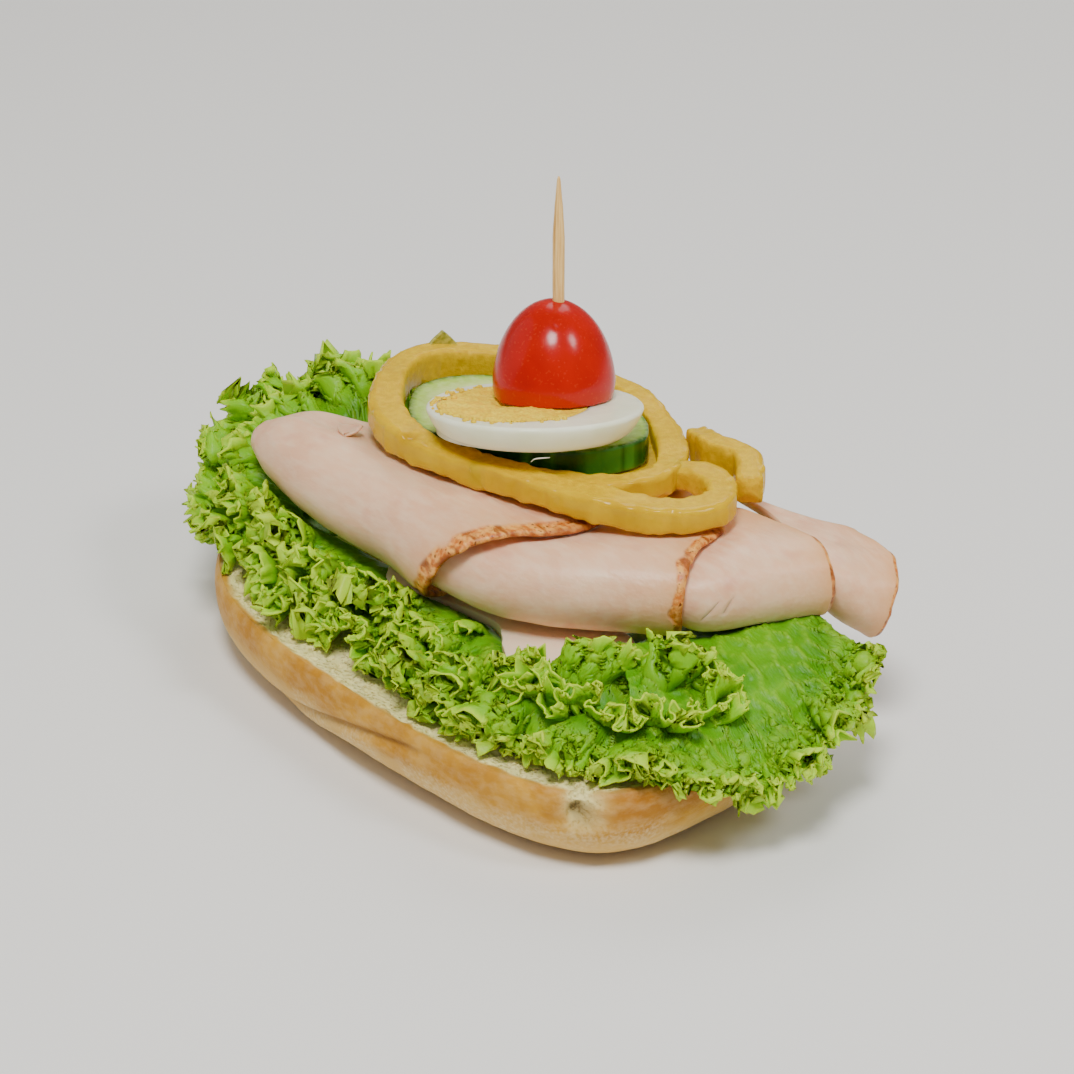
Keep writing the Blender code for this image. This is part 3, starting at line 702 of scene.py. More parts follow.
class BirchStick(Finish):
    """Turned birch: pale straight-grained wood with fine dark lines along it."""

    name = "turned_birch_stick"

    def build(self) -> bpy.types.Material:
        """Grain lines about half a millimetre apart, stretched along the stick."""
        grain = self.add("CombineXYZ", {0: self.mark("around"), 1: self.mark("along")}).outputs[0]
        lines = self.add("TexNoise", {"Vector": grain, "Scale": 1.0, "Detail": 4.0}).outputs[0]
        self.paint(self.add("ValToRGB", {"Fac": lines},
                            ((0.3, "#C88E3C"), (0.5, "#F0C272"), (0.7, "#F8D48E"))).outputs[0])
        self.settle({"Roughness": 0.6})
        self.relief(lines, 0.05)
        return self.material


class StemEnd(Finish):
    """Scrap of dried pepper stem: olive and fibrous."""

    name = "dried_pepper_stem"

    def build(self) -> bpy.types.Material:
        """Olive in two tones, with a soft sheen."""
        self.paint(self.blend(self.speckle(1.2, 0.4, 0.6, 3.0), "#8E9030", "#BDB650"))
        self.settle({"Roughness": 0.5})
        return self.material


@dataclass
class Roll:
    """Lower half of a long roll: rounded crust, a torn notch at its front corner, and an open crumb."""

    half_length: float = ROLL_HALF_LENGTH
    half_width: float = ROLL_HALF_WIDTH
    cut_height: float = 16.0
    left_power: float = 2.3
    right_power: float = 3.3
    around: int = 560
    section: tuple = ((13.0, 0.0), (9.0, 0.3), (6.0, 1.2), (3.4, 3.0), (1.4, 5.8), (0.3, 9.2), (0.0, 12.6),
                      (0.5, 15.0), (1.3, 16.0))
    crease: tuple = ((-24.0, 3.0), (-16.0, 4.2), (-6.0, 6.6), (3.0, 9.0), (12.0, 11.2), (21.0, 12.7),
                     (28.0, 13.4))
    notch: tuple = (56.8, -23.2, 14.0)
    blister: tuple = (50.2, -27.2, 7.2)

    def outline(self, angle: Array, inset: float) -> tuple[Array, Array]:
        """Super-ellipse of the roll at one inset, squarer at its right end than at its left."""
        cosine, sine = np.cos(angle), np.sin(angle)
        power = (self.left_power + self.right_power) / 2 + (self.right_power - self.left_power) / 2 * cosine
        x = (self.half_length - inset) * np.sign(cosine) * np.abs(cosine) ** (2 / power)
        y = (self.half_width - inset) * np.sign(sine) * np.abs(sine) ** (2 / power)
        return x, y

    def even_angles(self) -> Array:
        """Angles whose points lie evenly round the widest outline."""
        fine = np.linspace(0.0, 2 * math.pi, 40001)
        length = travel_along(np.stack(self.outline(fine, 0.0), axis=-1))
        return np.interp(np.linspace(0.0, length[-1], self.around, endpoint=False), length, fine)

    def rings(self) -> tuple[Array, Array]:
        """Rings from the middle of the base, up the crust and in over the crumb.

        Returns:
            The rings, and for each how far it lies in from the cut edge, or below 0 on the crust.
        """
        angle = self.even_angles()
        base_inset, cut_inset = self.section[0][0], self.section[-1][0]
        loops, inward = [], []
        x, y = self.outline(angle, base_inset)
        for share in np.linspace(0.04, 0.9, 6):
            loops.append(np.stack([x * share, y * share, np.zeros_like(x)], axis=-1))
            inward.append(-30.0)
        side = spline(self.section, np.linspace(0.0, 1.0, 50))
        for inset, height in side:
            x, y = self.outline(angle, inset)
            loops.append(np.stack([x, y, np.full_like(x, max(height, 0.0))], axis=-1))
            inward.append(height - self.cut_height)
        x, y = self.outline(angle, cut_inset)
        cut_edge = np.stack([x, y, np.full_like(x, self.cut_height)], axis=-1)
        for share in 0.97 * np.linspace(0.0, 1.0, 92)[1:] ** 1.6:
            loops.append(cut_edge * (1 - share, 1 - share, 1.0))
            inward.append(share * 33.0)
        return np.array(loops), np.array(inward)

    def surface(self) -> Shape:
        """Rings moved along their normals by wrinkles, a crease, a notch and crumb pores."""
        rings, inward = self.rings()
        inward = np.repeat(inward[:, None], self.around, axis=1)
        normal = -normals_of(rings, wrap_columns=True)
        normal[..., 2] = np.where(inward > 0.2, 1.0, normal[..., 2])
        x, y, z = rings[..., 0], rings[..., 1], rings[..., 2]
        crust = ease(-15.9, -14.0, inward) * (1 - ease(-0.6, 0.4, inward))
        lift = crust * (0.45 * rough(rings, 24.0, 3, 2) + 0.16 * rough(rings, 7.0, 5, 2)
                        + 0.05 * noise(rings, 1.8, 9))
        # The crease climbs along the front, with a roll of crust below it
        line = np.asarray(self.crease, float)
        off = z - np.interp(x, line[:, 0], line[:, 1])
        window = (y < 0) * ease(-26.0, -12.0, x) * (1 - ease(18.0, 30.0, x))
        lift += crust * window * (-0.9 * np.exp(-(off / 0.8) ** 2) + 0.55 * np.exp(-((off + 2.4) / 1.7) ** 2))
        # This mark paints shade along the crease: it darkens the crust's colour there
        crease = 0.75 * window * np.exp(-((off - 0.2) / 0.7) ** 2) * crust
        ring_gap = np.linalg.norm(rings - np.array(self.blister), axis=-1)
        lift += 0.3 * np.cos(ring_gap * 2.1) * np.exp(-(ring_gap / 3.0) ** 2) * crust
        # The notch is torn at the rim, and a small hole goes in below it
        gap = np.linalg.norm((rings - np.array(self.notch)) * (1.0, 1.0, 0.8), axis=-1)
        torn = np.exp(-((gap + 0.9 * noise(rings, 1.6, 21)) / 2.9) ** 2)
        # The hole's mark also paints shade into it, dark brown
        hole_gap = np.linalg.norm(rings - np.array(self.notch) + (0.6, -0.4, 1.8), axis=-1)
        hole = np.exp(-((hole_gap + 0.4 * noise(rings, 0.9, 23)) / 2.0) ** 2)
        # The crumb sinks into a shallow bowl with pores of two sizes
        crumb = ease(0.2, 1.3, inward + 0.6 * noise(rings, 2.2, 31))
        pores = np.clip(noise(rings, 1.25, 41) - 0.1, 0.0, 1.0)
        pores = pores + 0.6 * np.clip(noise(rings, 2.6, 43) - 0.3, 0.0, 1.0)
        bowl = ease(0.0, 4.0, inward) * (1 - 0.5 * ease(6.0, 14.0, inward))
        sink = crumb * (0.5 * pores + 0.7 * bowl + 0.35 * rough(rings, 5.0, 47, 2))
        points = rings + normal * lift[..., None]
        points[..., 2] -= sink
        inward_way = -unit(rings * np.array((1.0, 1.0, 0.0)))
        points += inward_way * (2.0 * torn + 3.0 * hole)[..., None]
        points[..., 2] -= 1.5 * torn * ease(13.0, 16.0, z)
        points[..., 2] = np.maximum(points[..., 2], 0.0)
        # Browned above, at both ends and at the foot, and floured between
        edge = ease(6.5, 11.5, z + 1.5 * noise(rings, 6.0, 51))
        toast = edge * (0.8 + 0.25 * noise(rings, 8.0, 53)) + 0.2
        toast += 0.85 * ease(46.0, 63.0, x) * ease(3.0, 12.0, z) + 0.3 * ease(-40.0, -62.0, x)
        toast += 0.4 * (1 - ease(0.0, 3.0, z))
        flour = (1 - ease(7.0, 12.0, z)) * ease(-0.2, 0.5, noise(rings, 8.0, 57) + 0.35) * ease(1.0, 4.0, z)
        marks = {"crumb": np.clip(crumb + 1.3 * torn * (z > 6), 0.0, 1.0), "toast": toast,
                 "flour": flour, "crease": np.clip(crease, 0.0, 1.0), "hole": hole}
        return closed_rings(points, marks)

    def build(self) -> None:
        """Makes the roll."""
        make_piece("half_roll_baked", self.surface(), BakedRoll().build(), ["half_roll"])


@dataclass(frozen=True)
class Ruffle:
    """One size of wave on a leaf.

    Its length, height and reach in from the rim are in millimetres, and curl is how far its crests fold over
    sideways.
    """

    length: float
    height: float
    reach: float
    curl: float


@dataclass(frozen=True)
class LeafBlade:
    """One leaf: the line where it is rooted, its rim, and the waves that grow towards the rim."""

    name: str
    node: str
    root: tuple
    rim: tuple
    hump: float
    ruffles: tuple[Ruffle, ...]
    columns: int
    rows: int
    seed: int
    tooth: float = 1.9
    tooth_spacing: float = 2.9
    upturn: float = 1.6
    wander: float = 1.5
    slant: tuple = (0.7, -0.5)

    def ruffled(self, surface: Array, to_rim: Array) -> tuple[Array, Array]:
        """Adds each size of ruffle to the leaf.

        The surface moves along its own normal by a sine of the distance travelled along the rim as it then
        is, so small waves ride on large ones. Noise in the phase and the height makes every wave differ.

        Args:
            surface: Grid of points.
            to_rim: Distance of each point from the rim.

        Returns:
            The grid, and how far each point is on a crest or in a fold.
        """
        crests = np.zeros(surface.shape[:2])
        for number, wave in enumerate(self.ruffles):
            normal = normals_of(surface)
            tangent = unit(gradient(surface, 0))
            travel = travel_along(surface[:, -1])
            path = np.stack([travel, np.full_like(travel, 7.3 * number + self.seed)], axis=-1)
            along = np.repeat(travel[:, None], self.rows, axis=1)
            place = np.stack([along, 1.3 * to_rim + 9.0 * number], axis=-1)
            drift = 2.4 * noise(path, 1.8 * wave.length, self.seed + number)
            phase = (2 * math.pi * travel / wave.length + drift)[:, None]
            phase = phase + 1.5 * noise(place, 1.1 * wave.length, self.seed + 30 + number)
            size = wave.height * (1 + 0.6 * noise(path, 1.4 * wave.length, self.seed + 50 + number))[:, None]
            reach = (wave.reach * (1 + 0.35 * noise(path, 3.0 * wave.length, 77)))[:, None]
            grow = np.clip(1 - to_rim / reach, 0.0, 1.0) ** 1.1
            swing = np.sin(phase)
            surface = surface + normal * (size * swing * grow)[..., None]
            surface -= tangent * (wave.curl * size * np.sin(2 * phase) * grow)[..., None]
            crests += swing * grow * (0.75, 0.6, 0.35)[min(number, 2)]
        return surface, crests

    def toothed(self, surface: Array, to_rim: Array) -> Array:
        """Lengthens the rim by pointed teeth of random height, each leaning its own way."""
        travel = travel_along(surface[:, -1])
        wobble = noise(np.stack([travel, np.zeros_like(travel)], axis=-1), 3.4, self.seed + 90)
        place = travel / self.tooth_spacing + 1.1 * wobble
        number = np.floor(place)
        jag = 1 - np.abs(2 * (place - number) - 1)
        pick = noise(np.stack([number * 1.7, np.zeros_like(place)], axis=-1), 1.0, self.seed + 91)
        outward = unit(surface[:, -1] - surface[:, -4])
        reach = self.tooth * jag**1.25 * np.clip(0.75 + 0.9 * pick, 0.15, 1.5)
        lean = 0.5 * noise(np.stack([number * 1.3, np.zeros_like(place)], axis=-1), 1.0, self.seed + 92)
        way = unit(outward + lean[:, None] * normals_of(surface)[:, -1])
        grow = np.clip(1 - to_rim / 1.6, 0.0, 1.0) ** 1.4
        return surface + way[:, None] * (reach[:, None] * grow)[..., None]

    def middle(self) -> tuple[Array, dict[str, Array]]:
        """Works out the leaf's middle surface.

        The rim wanders in and out and turns up, and puffed cells lift the blade. Ruffles and teeth follow.
        The leaf then stays under the ham and over the roll.

        Returns:
            The grid of points, and the named values on it.
        """
        s = even_samples(self.rim, self.columns)
        v = 1 - (1 - np.linspace(0.0, 1.0, self.rows)) ** 1.4
        base, edge = spline(self.root, s), spline(self.rim, s)
        line = np.stack([travel_along(edge), np.full(len(s), 5.0 * self.seed)], axis=-1)
        edge = edge + unit(edge - base) * (self.wander * rough(line, 8.0, self.seed + 60, 2))[:, None]
        surface = base[:, None] * (1 - v)[None, :, None] + edge[:, None] * v[None, :, None]
        surface[..., 2] += self.hump * np.sin(math.pi * v**0.85)
        span = np.linalg.norm(edge - base, axis=1)[:, None]
        out = span * v[None, :]
        to_rim = span * (1 - v)[None, :]
        turn = self.upturn * (1 + 0.9 * noise(line, 11.0, self.seed + 61))[:, None]
        surface[..., 2] += turn * np.clip(1 - to_rim / 7.0, 0.0, 1.0) ** 1.6
        # Cells of 4.4 mm with cells of 1.9 mm on them, drawn aslant so that they run with the veins
        flat = surface[..., :2] + surface[..., 2:] * np.array(self.slant)
        bent = flat + np.stack([noise(flat, 3.5, self.seed + 62), noise(flat, 3.5, self.seed + 63)], axis=-1)
        cells = puffed_cells(bent, 4.4, self.seed)
        small = puffed_cells(bent * (1.0, 1.2), 1.9, self.seed + 5)
        puff = 0.85 * (cells**0.6 - 0.5) + 0.16 * (small**0.7 - 0.5)
        swell = (0.3 + 0.7 * ease(4.0, 14.0, out)) * ease(0.0, 3.0, out) * ease(-0.5, 2.0, to_rim)
        surface += normals_of(surface) * (puff * swell)[..., None]
        surface, crests = self.ruffled(surface, to_rim)
        surface = self.toothed(surface, to_rim)
        surface[..., 2] = np.minimum(surface[..., 2], ham_underside(surface))
        surface[..., 2] = np.maximum(surface[..., 2], roll_floor(surface))
        # The fold mark paints shade into the dips of the ruffles
        marks = {"tip": np.clip(1 - to_rim / 9.0, 0.0, 1.0) ** 1.2,
                 "fold": np.clip(0.55 + 0.5 * crests, 0.0, 1.0),
                 "vein": 1 - cells,
                 "edge": np.clip(1 - to_rim / 0.9, 0.0, 1.0)}
        return surface, marks

    def build(self, material: bpy.types.Material) -> None:
        """Makes the leaf as a solid 0.75 mm thick, and 0.33 mm at its rim."""
        surface, marks = self.middle()
        thickness = 0.75 - 0.3 * marks["tip"] - 0.12 * marks["edge"]
        make_piece(self.name, two_sided(surface, thickness, marks), material, [self.node])


def ham_underside(surface: Array) -> Array:
    """Height that a leaf stays under: the round lower side of the folded ham, and the flat slice below it.

    Args:
        surface: Grid of points.

    Returns:
        The highest z allowed at each point, 90 where nothing lies above.
    """
    x, y = surface[..., 0], surface[..., 1]
    line = np.array(((-54.2, -10.4, 33.4, 38.6), (-47.0, -12.9, 30.4, 41.3), (-36.0, -14.7, 28.4, 42.3),
                     (-22.0, -15.0, 27.2, 42.6), (-9.0, -14.2, 26.4, 42.6), (4.0, -15.8, 25.9, 42.6),
                     (8.6, -10.8, 27.0, 39.0), (16.0, -10.2, 27.0, 39.2), (25.0, -5.2, 26.4, 39.7),
                     (34.6, 2.8, 26.3, 40.3), (43.7, 11.3, 26.3, 40.4), (49.5, 25.3, 26.6, 39.2),
                     (54.8, 37.0, 26.7, 38.9), (58.0, 46.4, 18.9, 32.4)))
    front = np.interp(x, line[:, 0], line[:, 1]) - 1.2
    low, high = np.interp(x, line[:, 0], line[:, 2]) - 1.3, np.interp(x, line[:, 0], line[:, 3])
    slope = np.interp(x, (-60.0, 3.0, 10.0, 20.0, 30.0, 44.0, 50.0), (1.0, 1.0, 0.96, 0.88, 0.78, 0.7, 0.45))
    depth = (y - front) * slope
    radius = (high - low) / 2
    inside = radius - np.clip(depth, 0.0, radius)
    round_side = (high + low) / 2 - np.sqrt(np.maximum(radius**2 - inside**2, 0.0))
    ceiling = np.where((depth > 0) & (x > -54.5), round_side, 90.0)
    flat = np.array(((-16.4, -4.0), (-15.2, -9.0), (-9.2, -13.0), (-2.0, -10.0), (6.0, -7.8), (14.4, -7.2),
                     (20.6, -10.8), (26.9, -14.2), (29.8, -11.6), (31.6, -8.8), (34.6, -1.4), (36.4, 7.0)))
    under = (x > -16.4) & (x < 36.4) & (y > np.interp(x, flat[:, 0], flat[:, 1]) - 0.5)
    return np.where(under, np.minimum(ceiling, 22.2), ceiling)


def roll_floor(surface: Array) -> Array:
    """Height that a leaf stays over: the roll's cut face, easing down to the base beyond its edge."""
    x, y = surface[..., 0], surface[..., 1]
    x_share, y_share = x / ROLL_HALF_LENGTH, y / ROLL_HALF_WIDTH
    power = 2.8 + 0.5 * np.cos(np.arctan2(y_share, x_share))
    reach = (np.abs(x_share) ** power + np.abs(y_share) ** power) ** (1 / power)
    outside = (reach - 1) * np.hypot(x, y) / np.maximum(reach, 1e-6)
    return 16.4 - 12.0 * ease(0.5, 5.0, outside)


@dataclass
class Lettuce:
    """Curled lettuce in overlapping leaves: at the front, round the left end and back, and at the right."""

    def leaves(self) -> tuple[LeafBlade, ...]:
        """Lists the leaves, from the front edge round to the back."""
        broad = Ruffle(15.0, 2.8, 14.0, 0.45)
        curl = Ruffle(7.6, 2.2, 8.5, 0.85)
        fine = Ruffle(3.2, 0.3, 3.0, 0.5)
        return (
            LeafBlade("lettuce_front_low", "lettuce_front",
                      ((-38, -12, 20.2), (-22, -9, 20.2), (-6, -8, 20.0), (8, -9, 20.0), (21, -10, 20.0)),
                      ((-44, -21.5, 19.6), (-34, -25.5, 19.0), (-25, -28.6, 18.4), (-15, -26.6, 18.4),
                       (-5, -25.4, 18.4), (4, -27.0, 18.4), (9, -24.0, 18.4), (16, -27.4, 18.4),
                       (25, -28.4, 18.4),
                       (32, -25.6, 19.0)),
                      2.6, (broad, curl, fine), 860, 30, 3, upturn=2.0),
            LeafBlade("lettuce_front_middle", "lettuce_front",
                      ((-38, -8, 21.0), (-20, -5, 21.0), (-4, -4, 21.0), (10, -5, 21.0), (22, -8, 20.5)),
                      ((-45, -19, 24.0), (-34, -22, 23.0), (-24, -23.0, 22.4), (-13, -22.0, 22.4),
                       (-2, -21.6, 22.4), (8, -21.0, 22.0), (18, -23.0, 21.4), (28, -24, 21.0)),
                      2.8, (broad, curl, fine), 820, 28, 8, upturn=2.4),
            LeafBlade("lettuce_front_high", "lettuce_front",
                      ((-40, -8, 22.0), (-24, -6, 21.6), (-8, -6, 21.4), (6, -6, 21.2), (14, -9, 20.8)),
                      ((-45, -17.5, 26.5), (-38, -19.5, 27.0), (-30, -18.0, 26.0), (-22, -15.5, 22.6),
                       (-15, -15.0, 21.8), (-8, -17.5, 24.0), (-1, -17.0, 25.0), (6, -15.5, 24.0),
                       (14, -15.0, 22.0)),
                      1.6, (Ruffle(13.0, 1.6, 9.0, 0.5), Ruffle(6.0, 1.5, 6.0, 0.85), fine), 700, 24, 14,
                      upturn=1.6),
            LeafBlade("lettuce_front_tall", "lettuce_front",
                      ((22, -23, 18.6), (33, -22.5, 18.6), (43, -19, 18.6), (51, -14, 18.6), (57, -7, 18.2),
                       (59.5, 2, 18.2)),
                      ((26.5, -15, 24.6), (31, -8.8, 28.4), (35.5, -6.6, 27.0), (40, -1.4, 30.2),
                       (44, 1.6, 28.8),
                       (48, 6.6, 31.0), (54, 8.5, 29.6), (59, 7.0, 27.0)),
                      -1.5, (Ruffle(13.0, 3.6, 16.0, 0.45), Ruffle(6.4, 1.7, 7.5, 0.85), fine), 760, 36, 21,
                      wander=2.2, upturn=0.6),
            LeafBlade("lettuce_front_corner", "lettuce_front",
                      ((20, -18, 21.0), (30, -17, 21.5), (40, -14, 22.0), (48, -9, 22.0), (54, -3, 21.5),
                       (57, 3, 20.5)),
                      ((22, -27, 19.0), (32, -26.6, 18.6), (42, -25.4, 18.6), (50, -22.6, 18.6),
                       (57.5, -17.4, 18.0),
                       (63, -11, 16.6)),
                      2.0, (Ruffle(14.0, 3.2, 14.0, 0.5), curl, fine), 700, 30, 27, upturn=1.0),
            LeafBlade("lettuce_front_crest", "lettuce_front",
                      ((30, -16, 19.6), (39, -13, 19.8), (47, -9, 19.8), (54, -3, 19.6), (58, 4, 19.4)),
                      ((30.5, -20.5, 24.6), (38, -18.5, 26.0), (46, -15.5, 25.6), (53, -12.5, 26.0),
                       (58.5, -6, 25.4),
                       (61.5, 1.5, 25.0), (60.5, 8.0, 25.4)),
                      -0.8, (Ruffle(11.0, 2.6, 9.0, 0.5), curl, fine), 620, 24, 91, wander=2.0, upturn=0.8),
            LeafBlade("lettuce_right_broad", "lettuce_right",
                      ((27, 8, 20.6), (27.6, 14.0, 20.8), (28.6, 20.0, 21.0), (30.6, 26.0, 21.4),
                       (33.4, 31.4, 21.8)),
                      ((60.0, -13.0, 19.0), (67.0, -8.4, 15.8), (72.0, 1.0, 14.4), (73.4, 11.0, 14.6),
                       (72.6, 20.0, 16.4), (69.0, 29.5, 18.8), (62.6, 35.4, 21.2), (54.0, 38.0, 22.6)),
                      7.6, (Ruffle(16.0, 2.2, 13.0, 0.4), Ruffle(6.6, 1.7, 6.5, 0.8), fine), 860, 56, 33,
                      upturn=1.0, tooth=2.6, wander=1.8, slant=(-0.3, 0.2)),
            LeafBlade("lettuce_left_low", "lettuce_left",
                      ((-38.0, -8.0, 20.4), (-36.0, 0.0, 21.0), (-32.0, 8.0, 22.0), (-22.0, 16.0, 23.0),
                       (-10.0, 22.0, 23.0), (4.0, 25.0, 22.6), (16.0, 27.0, 22.0)),
                      ((-46.0, -24.0, 20.0), (-58.0, -21.5, 20.4), (-66.0, -15.0, 22.6), (-73.0, -8.0, 27.4),
                       (-75.5, 2.0, 31.6), (-74.5, 12.0, 34.0), (-70.0, 21.0, 36.0), (-60.0, 29.0, 36.2),
                       (-46.0, 36.5, 35.2), (-26.0, 41.0, 34.0), (-4.0, 42.0, 33.0), (14.0, 41.5, 31.0),
                       (26.0, 39.5, 28.0)),
                      1.6, (Ruffle(15.0, 2.8, 15.0, 0.45), curl, fine), 1500, 32, 39, tooth=2.3, upturn=1.0),
            LeafBlade("lettuce_left_high", "lettuce_left",
                      ((-44, -9, 23.5), (-43, 0, 25.0), (-40, 8, 27.0), (-34, 14, 28.0), (-24, 20, 28.0)),
                      ((-46, -20.0, 24.5), (-56, -17.5, 25.0), (-63.5, -9, 28.6), (-67, 1, 32.6),
                       (-65.5, 12, 35.8),
                       (-59.5, 21, 38.0), (-51, 28, 38.4), (-42, 33, 37.6), (-31, 37, 36.0), (-20, 39, 34.0)),
                      1.6, (Ruffle(13.0, 2.4, 12.0, 0.5), curl, fine), 900, 28, 45, tooth=2.2, upturn=1.4),
        )

    def build(self) -> None:
        """Makes every leaf with one finish."""
        material = LettuceBlade().build()
        for leaf in self.leaves():
            leaf.build(material)


@dataclass(frozen=True)
class FoldedSlice:
    """One folded slice of ham.

    A section holds the outermost point of the fold (x, y), the compass angle of the fold line, the heights of
    the lower and upper layers, their heights at the back, and how deep each layer reaches.
    """

    name: str
    node: str
    sections: tuple
    start: tuple
    rim: tuple
    seed: int
    rind_width: float
    tan_width: float
    ragged: float
    slits: tuple = ()
    thickness: float = 1.8

    def knots(self, section: tuple) -> tuple[Array, Array]:
        """Ten control points round one section, and the direction of its fold line."""
        (x, y), degrees, low, high, low_back, high_back, low_deep, high_deep = section
        angle = math.radians(degrees)
        line = np.array((math.cos(angle), math.sin(angle), 0.0))
        inward = np.array((-math.sin(angle), math.cos(angle), 0.0))
        radius, centre = (high - low) / 2, (high + low) / 2
        begin = radius * 1.15
        pairs = np.array((
            (low_deep, low_back),
            (begin + 0.5 * (low_deep - begin), low + 0.35 * (low_back - low)),
            (begin, low),
            (radius * 0.293, centre - radius * 0.707),
            (0.0, centre),
            (radius * 0.293, centre + radius * 0.707),
            (begin, high),
            (begin + 0.33 * (high_deep - begin), high + 0.34 * (high_back - high)),
            (begin + 0.66 * (high_deep - begin), high + 0.7 * (high_back - high)),
            (high_deep, high_back)))
        points = np.array((x, y, 0.0)) + pairs[:, :1] * inward
        points[:, 2] = pairs[:, 1]
        return points, line

    def middle(self) -> Array:
        """Middle surface: Catmull-Rom curves along the fold through curves round it."""
        nets, lines = zip(*(self.knots(section) for section in self.sections))
        nets = np.array(nets)
        nets[0] += np.asarray(self.start)[:, None] * lines[0]
        nets[-1] += np.asarray(self.rim)[:, None] * lines[-1]
        rows = spline(nets, 1 - (1 - np.linspace(0.0, 1.0, 130)) ** 1.35)
        return np.moveaxis(spline(np.moveaxis(rows, 1, 0), np.linspace(0.0, 1.0, 170)), 0, 1)

    def build(self, material: bpy.types.Material) -> None:
        """Adds waves, a ragged browned rim and slits, then makes the slice."""
        surface = self.middle()
        step = np.linalg.norm(np.diff(surface, axis=0), axis=-1)
        to_rim = np.concatenate([np.cumsum(step[::-1], axis=0)[::-1], np.zeros((1, surface.shape[1]))])
        way = unit(gradient(surface, 0))
        edge_line = np.repeat(surface[-1:], len(surface), axis=0)
        jag = 0.75 * noise(edge_line, 3.4, self.seed) + 0.4 * noise(edge_line, 1.3, self.seed + 1)
        curl = noise(edge_line, 7.0, self.seed + 2)
        near = np.exp(-to_rim / 2.5)
        normal = normals_of(surface)
        surface = surface + way * (self.ragged * jag * near)[..., None]
        surface += normal * (0.4 * rough(surface, 16.0, self.seed + 3, 2)
                             + 0.07 * noise(surface, 3.0, self.seed + 5)
                             + self.ragged * 0.5 * curl * np.exp(-to_rim / 4.0))[..., None]
        uneven = to_rim + 0.35 * self.rind_width * noise(surface, 2.2, self.seed + 7)
        rind = 1 - ease(0.8 * self.rind_width, 1.05 * self.rind_width, uneven)
        tan = 0.9 * np.exp(-to_rim / self.tan_width)
        slit = np.zeros(surface.shape[:2])
        for first, last in self.slits:
            first, last = np.array(first), np.array(last)
            share = np.clip(((surface - first) @ (last - first)) / np.sum((last - first) ** 2), 0.0, 1.0)
            gap = np.linalg.norm(surface - (first + share[..., None] * (last - first)), axis=-1)
            slit = np.maximum(slit, np.exp(-(np.maximum(gap - 0.2, 0.0) / 0.22) ** 2))
        surface -= normal * (0.25 * slit)[..., None]
        rounded = np.sqrt(np.clip(1 - (1 - np.clip(to_rim / 0.9, 0.0, 1.0)) ** 2, 0.12, 1.0))
        thickness = self.thickness * rounded * (1 - rind * (0.25 - 0.03 * noise(surface, 1.8, self.seed + 9)))
        # The slit mark paints shade into each slit
        marks = {"rind": rind, "tan": np.clip(tan, 0.0, 1.0), "slit": 0.9 * slit,
                 "char": np.exp(-(to_rim / 0.7) ** 2) * ease(-0.3, 0.5, noise(surface, 2.4, self.seed + 11))}
        make_piece(self.name, two_sided(surface, thickness, marks), material, [self.node])


def bare_meat(grid: Array) -> dict[str, Array]:
    """Named values of meat that has no rind, tan, slit or char."""
    return {name: np.zeros(grid.shape[:2]) for name in ("rind", "tan", "slit", "char")}


@dataclass(frozen=True)
class FlatSlice:
    """Corner of a flat slice of ham under the folds."""

    outline: tuple = ((-16.0, -5.0), (-15.2, -8.6), (-9.2, -12.6), (-2.0, -9.6), (6.0, -7.4), (14.4, -6.8),
                      (20.6, -10.4), (26.9, -13.8), (29.8, -11.2), (31.6, -8.4), (34.6, -1.0), (36.0, 7.0),
                      (30.0, 8.6), (20.0, 6.0), (8.0, 5.0), (-6.0, 4.0))
    height: float = 23.7
    thickness: float = 1.8

    def build(self, material: bpy.types.Material) -> None:
        """Makes the slice from rings shrunk towards its middle, sagging a little at its front corner."""
        edge = spline(self.outline, even_samples([(*p, 0.0) for p in self.outline], 260, True), True)
        centre = np.array((10.0, -2.0))
        rings = []
        steps = [(-0.5, s) for s in np.linspace(0.04, 0.96, 16)] + [(-0.45, 0.985), (-0.2, 1.0), (0.2, 1.0)]
        steps += [(0.45, 0.985)] + [(0.5, s) for s in np.linspace(0.96, 0.04, 22)]
        for side, share in steps:
            flat = centre + (edge - centre) * share
            sag = 0.4 * np.clip((-flat[:, 1] - 5.0) / 8.0, 0.0, 1.5) ** 1.5
            rings.append(np.column_stack([flat, self.height - sag + side * self.thickness]))
        rings = np.array(rings)
        rings[..., 2] += 0.2 * rough(rings, 9.0, 71, 2)
        rings[..., :2] += 0.25 * noise(rings * (1, 1, 0), 2.5, 73)[..., None]
        marks = bare_meat(rings) | {"pale": np.full(rings.shape[:2], 0.8)}
        make_piece("ham_flat_corner", closed_rings(rings, marks), material, ["ham_slice_flat"])


@dataclass(frozen=True)
class TornFlap:
    """Small torn tongue of meat that curls up from the first slice."""

    foot: tuple = ((-38.6, -1.6, 42.6), (-36.4, -3.6, 43.0), (-33.6, -4.4, 43.2))
    reach: tuple = (3.4, 2.6, 0.5)

    def build(self, material: bpy.types.Material) -> None:
        """Makes a sheet that leaves its foot as a quarter circle and narrows to a point."""
        across = np.linspace(0.0, 1.0, 26)
        out = np.linspace(0.0, 1.0, 18)
        foot = spline(self.foot, across)
        size = np.sin(math.pi * across) ** 0.7 * (1 + 0.25 * noise(foot, 1.5, 191)) + 0.05
        way = np.array(self.reach)
        level = np.sin(out * 1.3)[None, :, None] * way * (1.0, 1.0, 0.0)
        raised = (out**2)[None, :, None] * np.array((0.0, 0.0, 1.3))
        sheet = foot[:, None] + size[:, None, None] * (level + raised)
        make_piece("ham_torn_flap", two_sided(sheet, 0.7, bare_meat(sheet)), material)


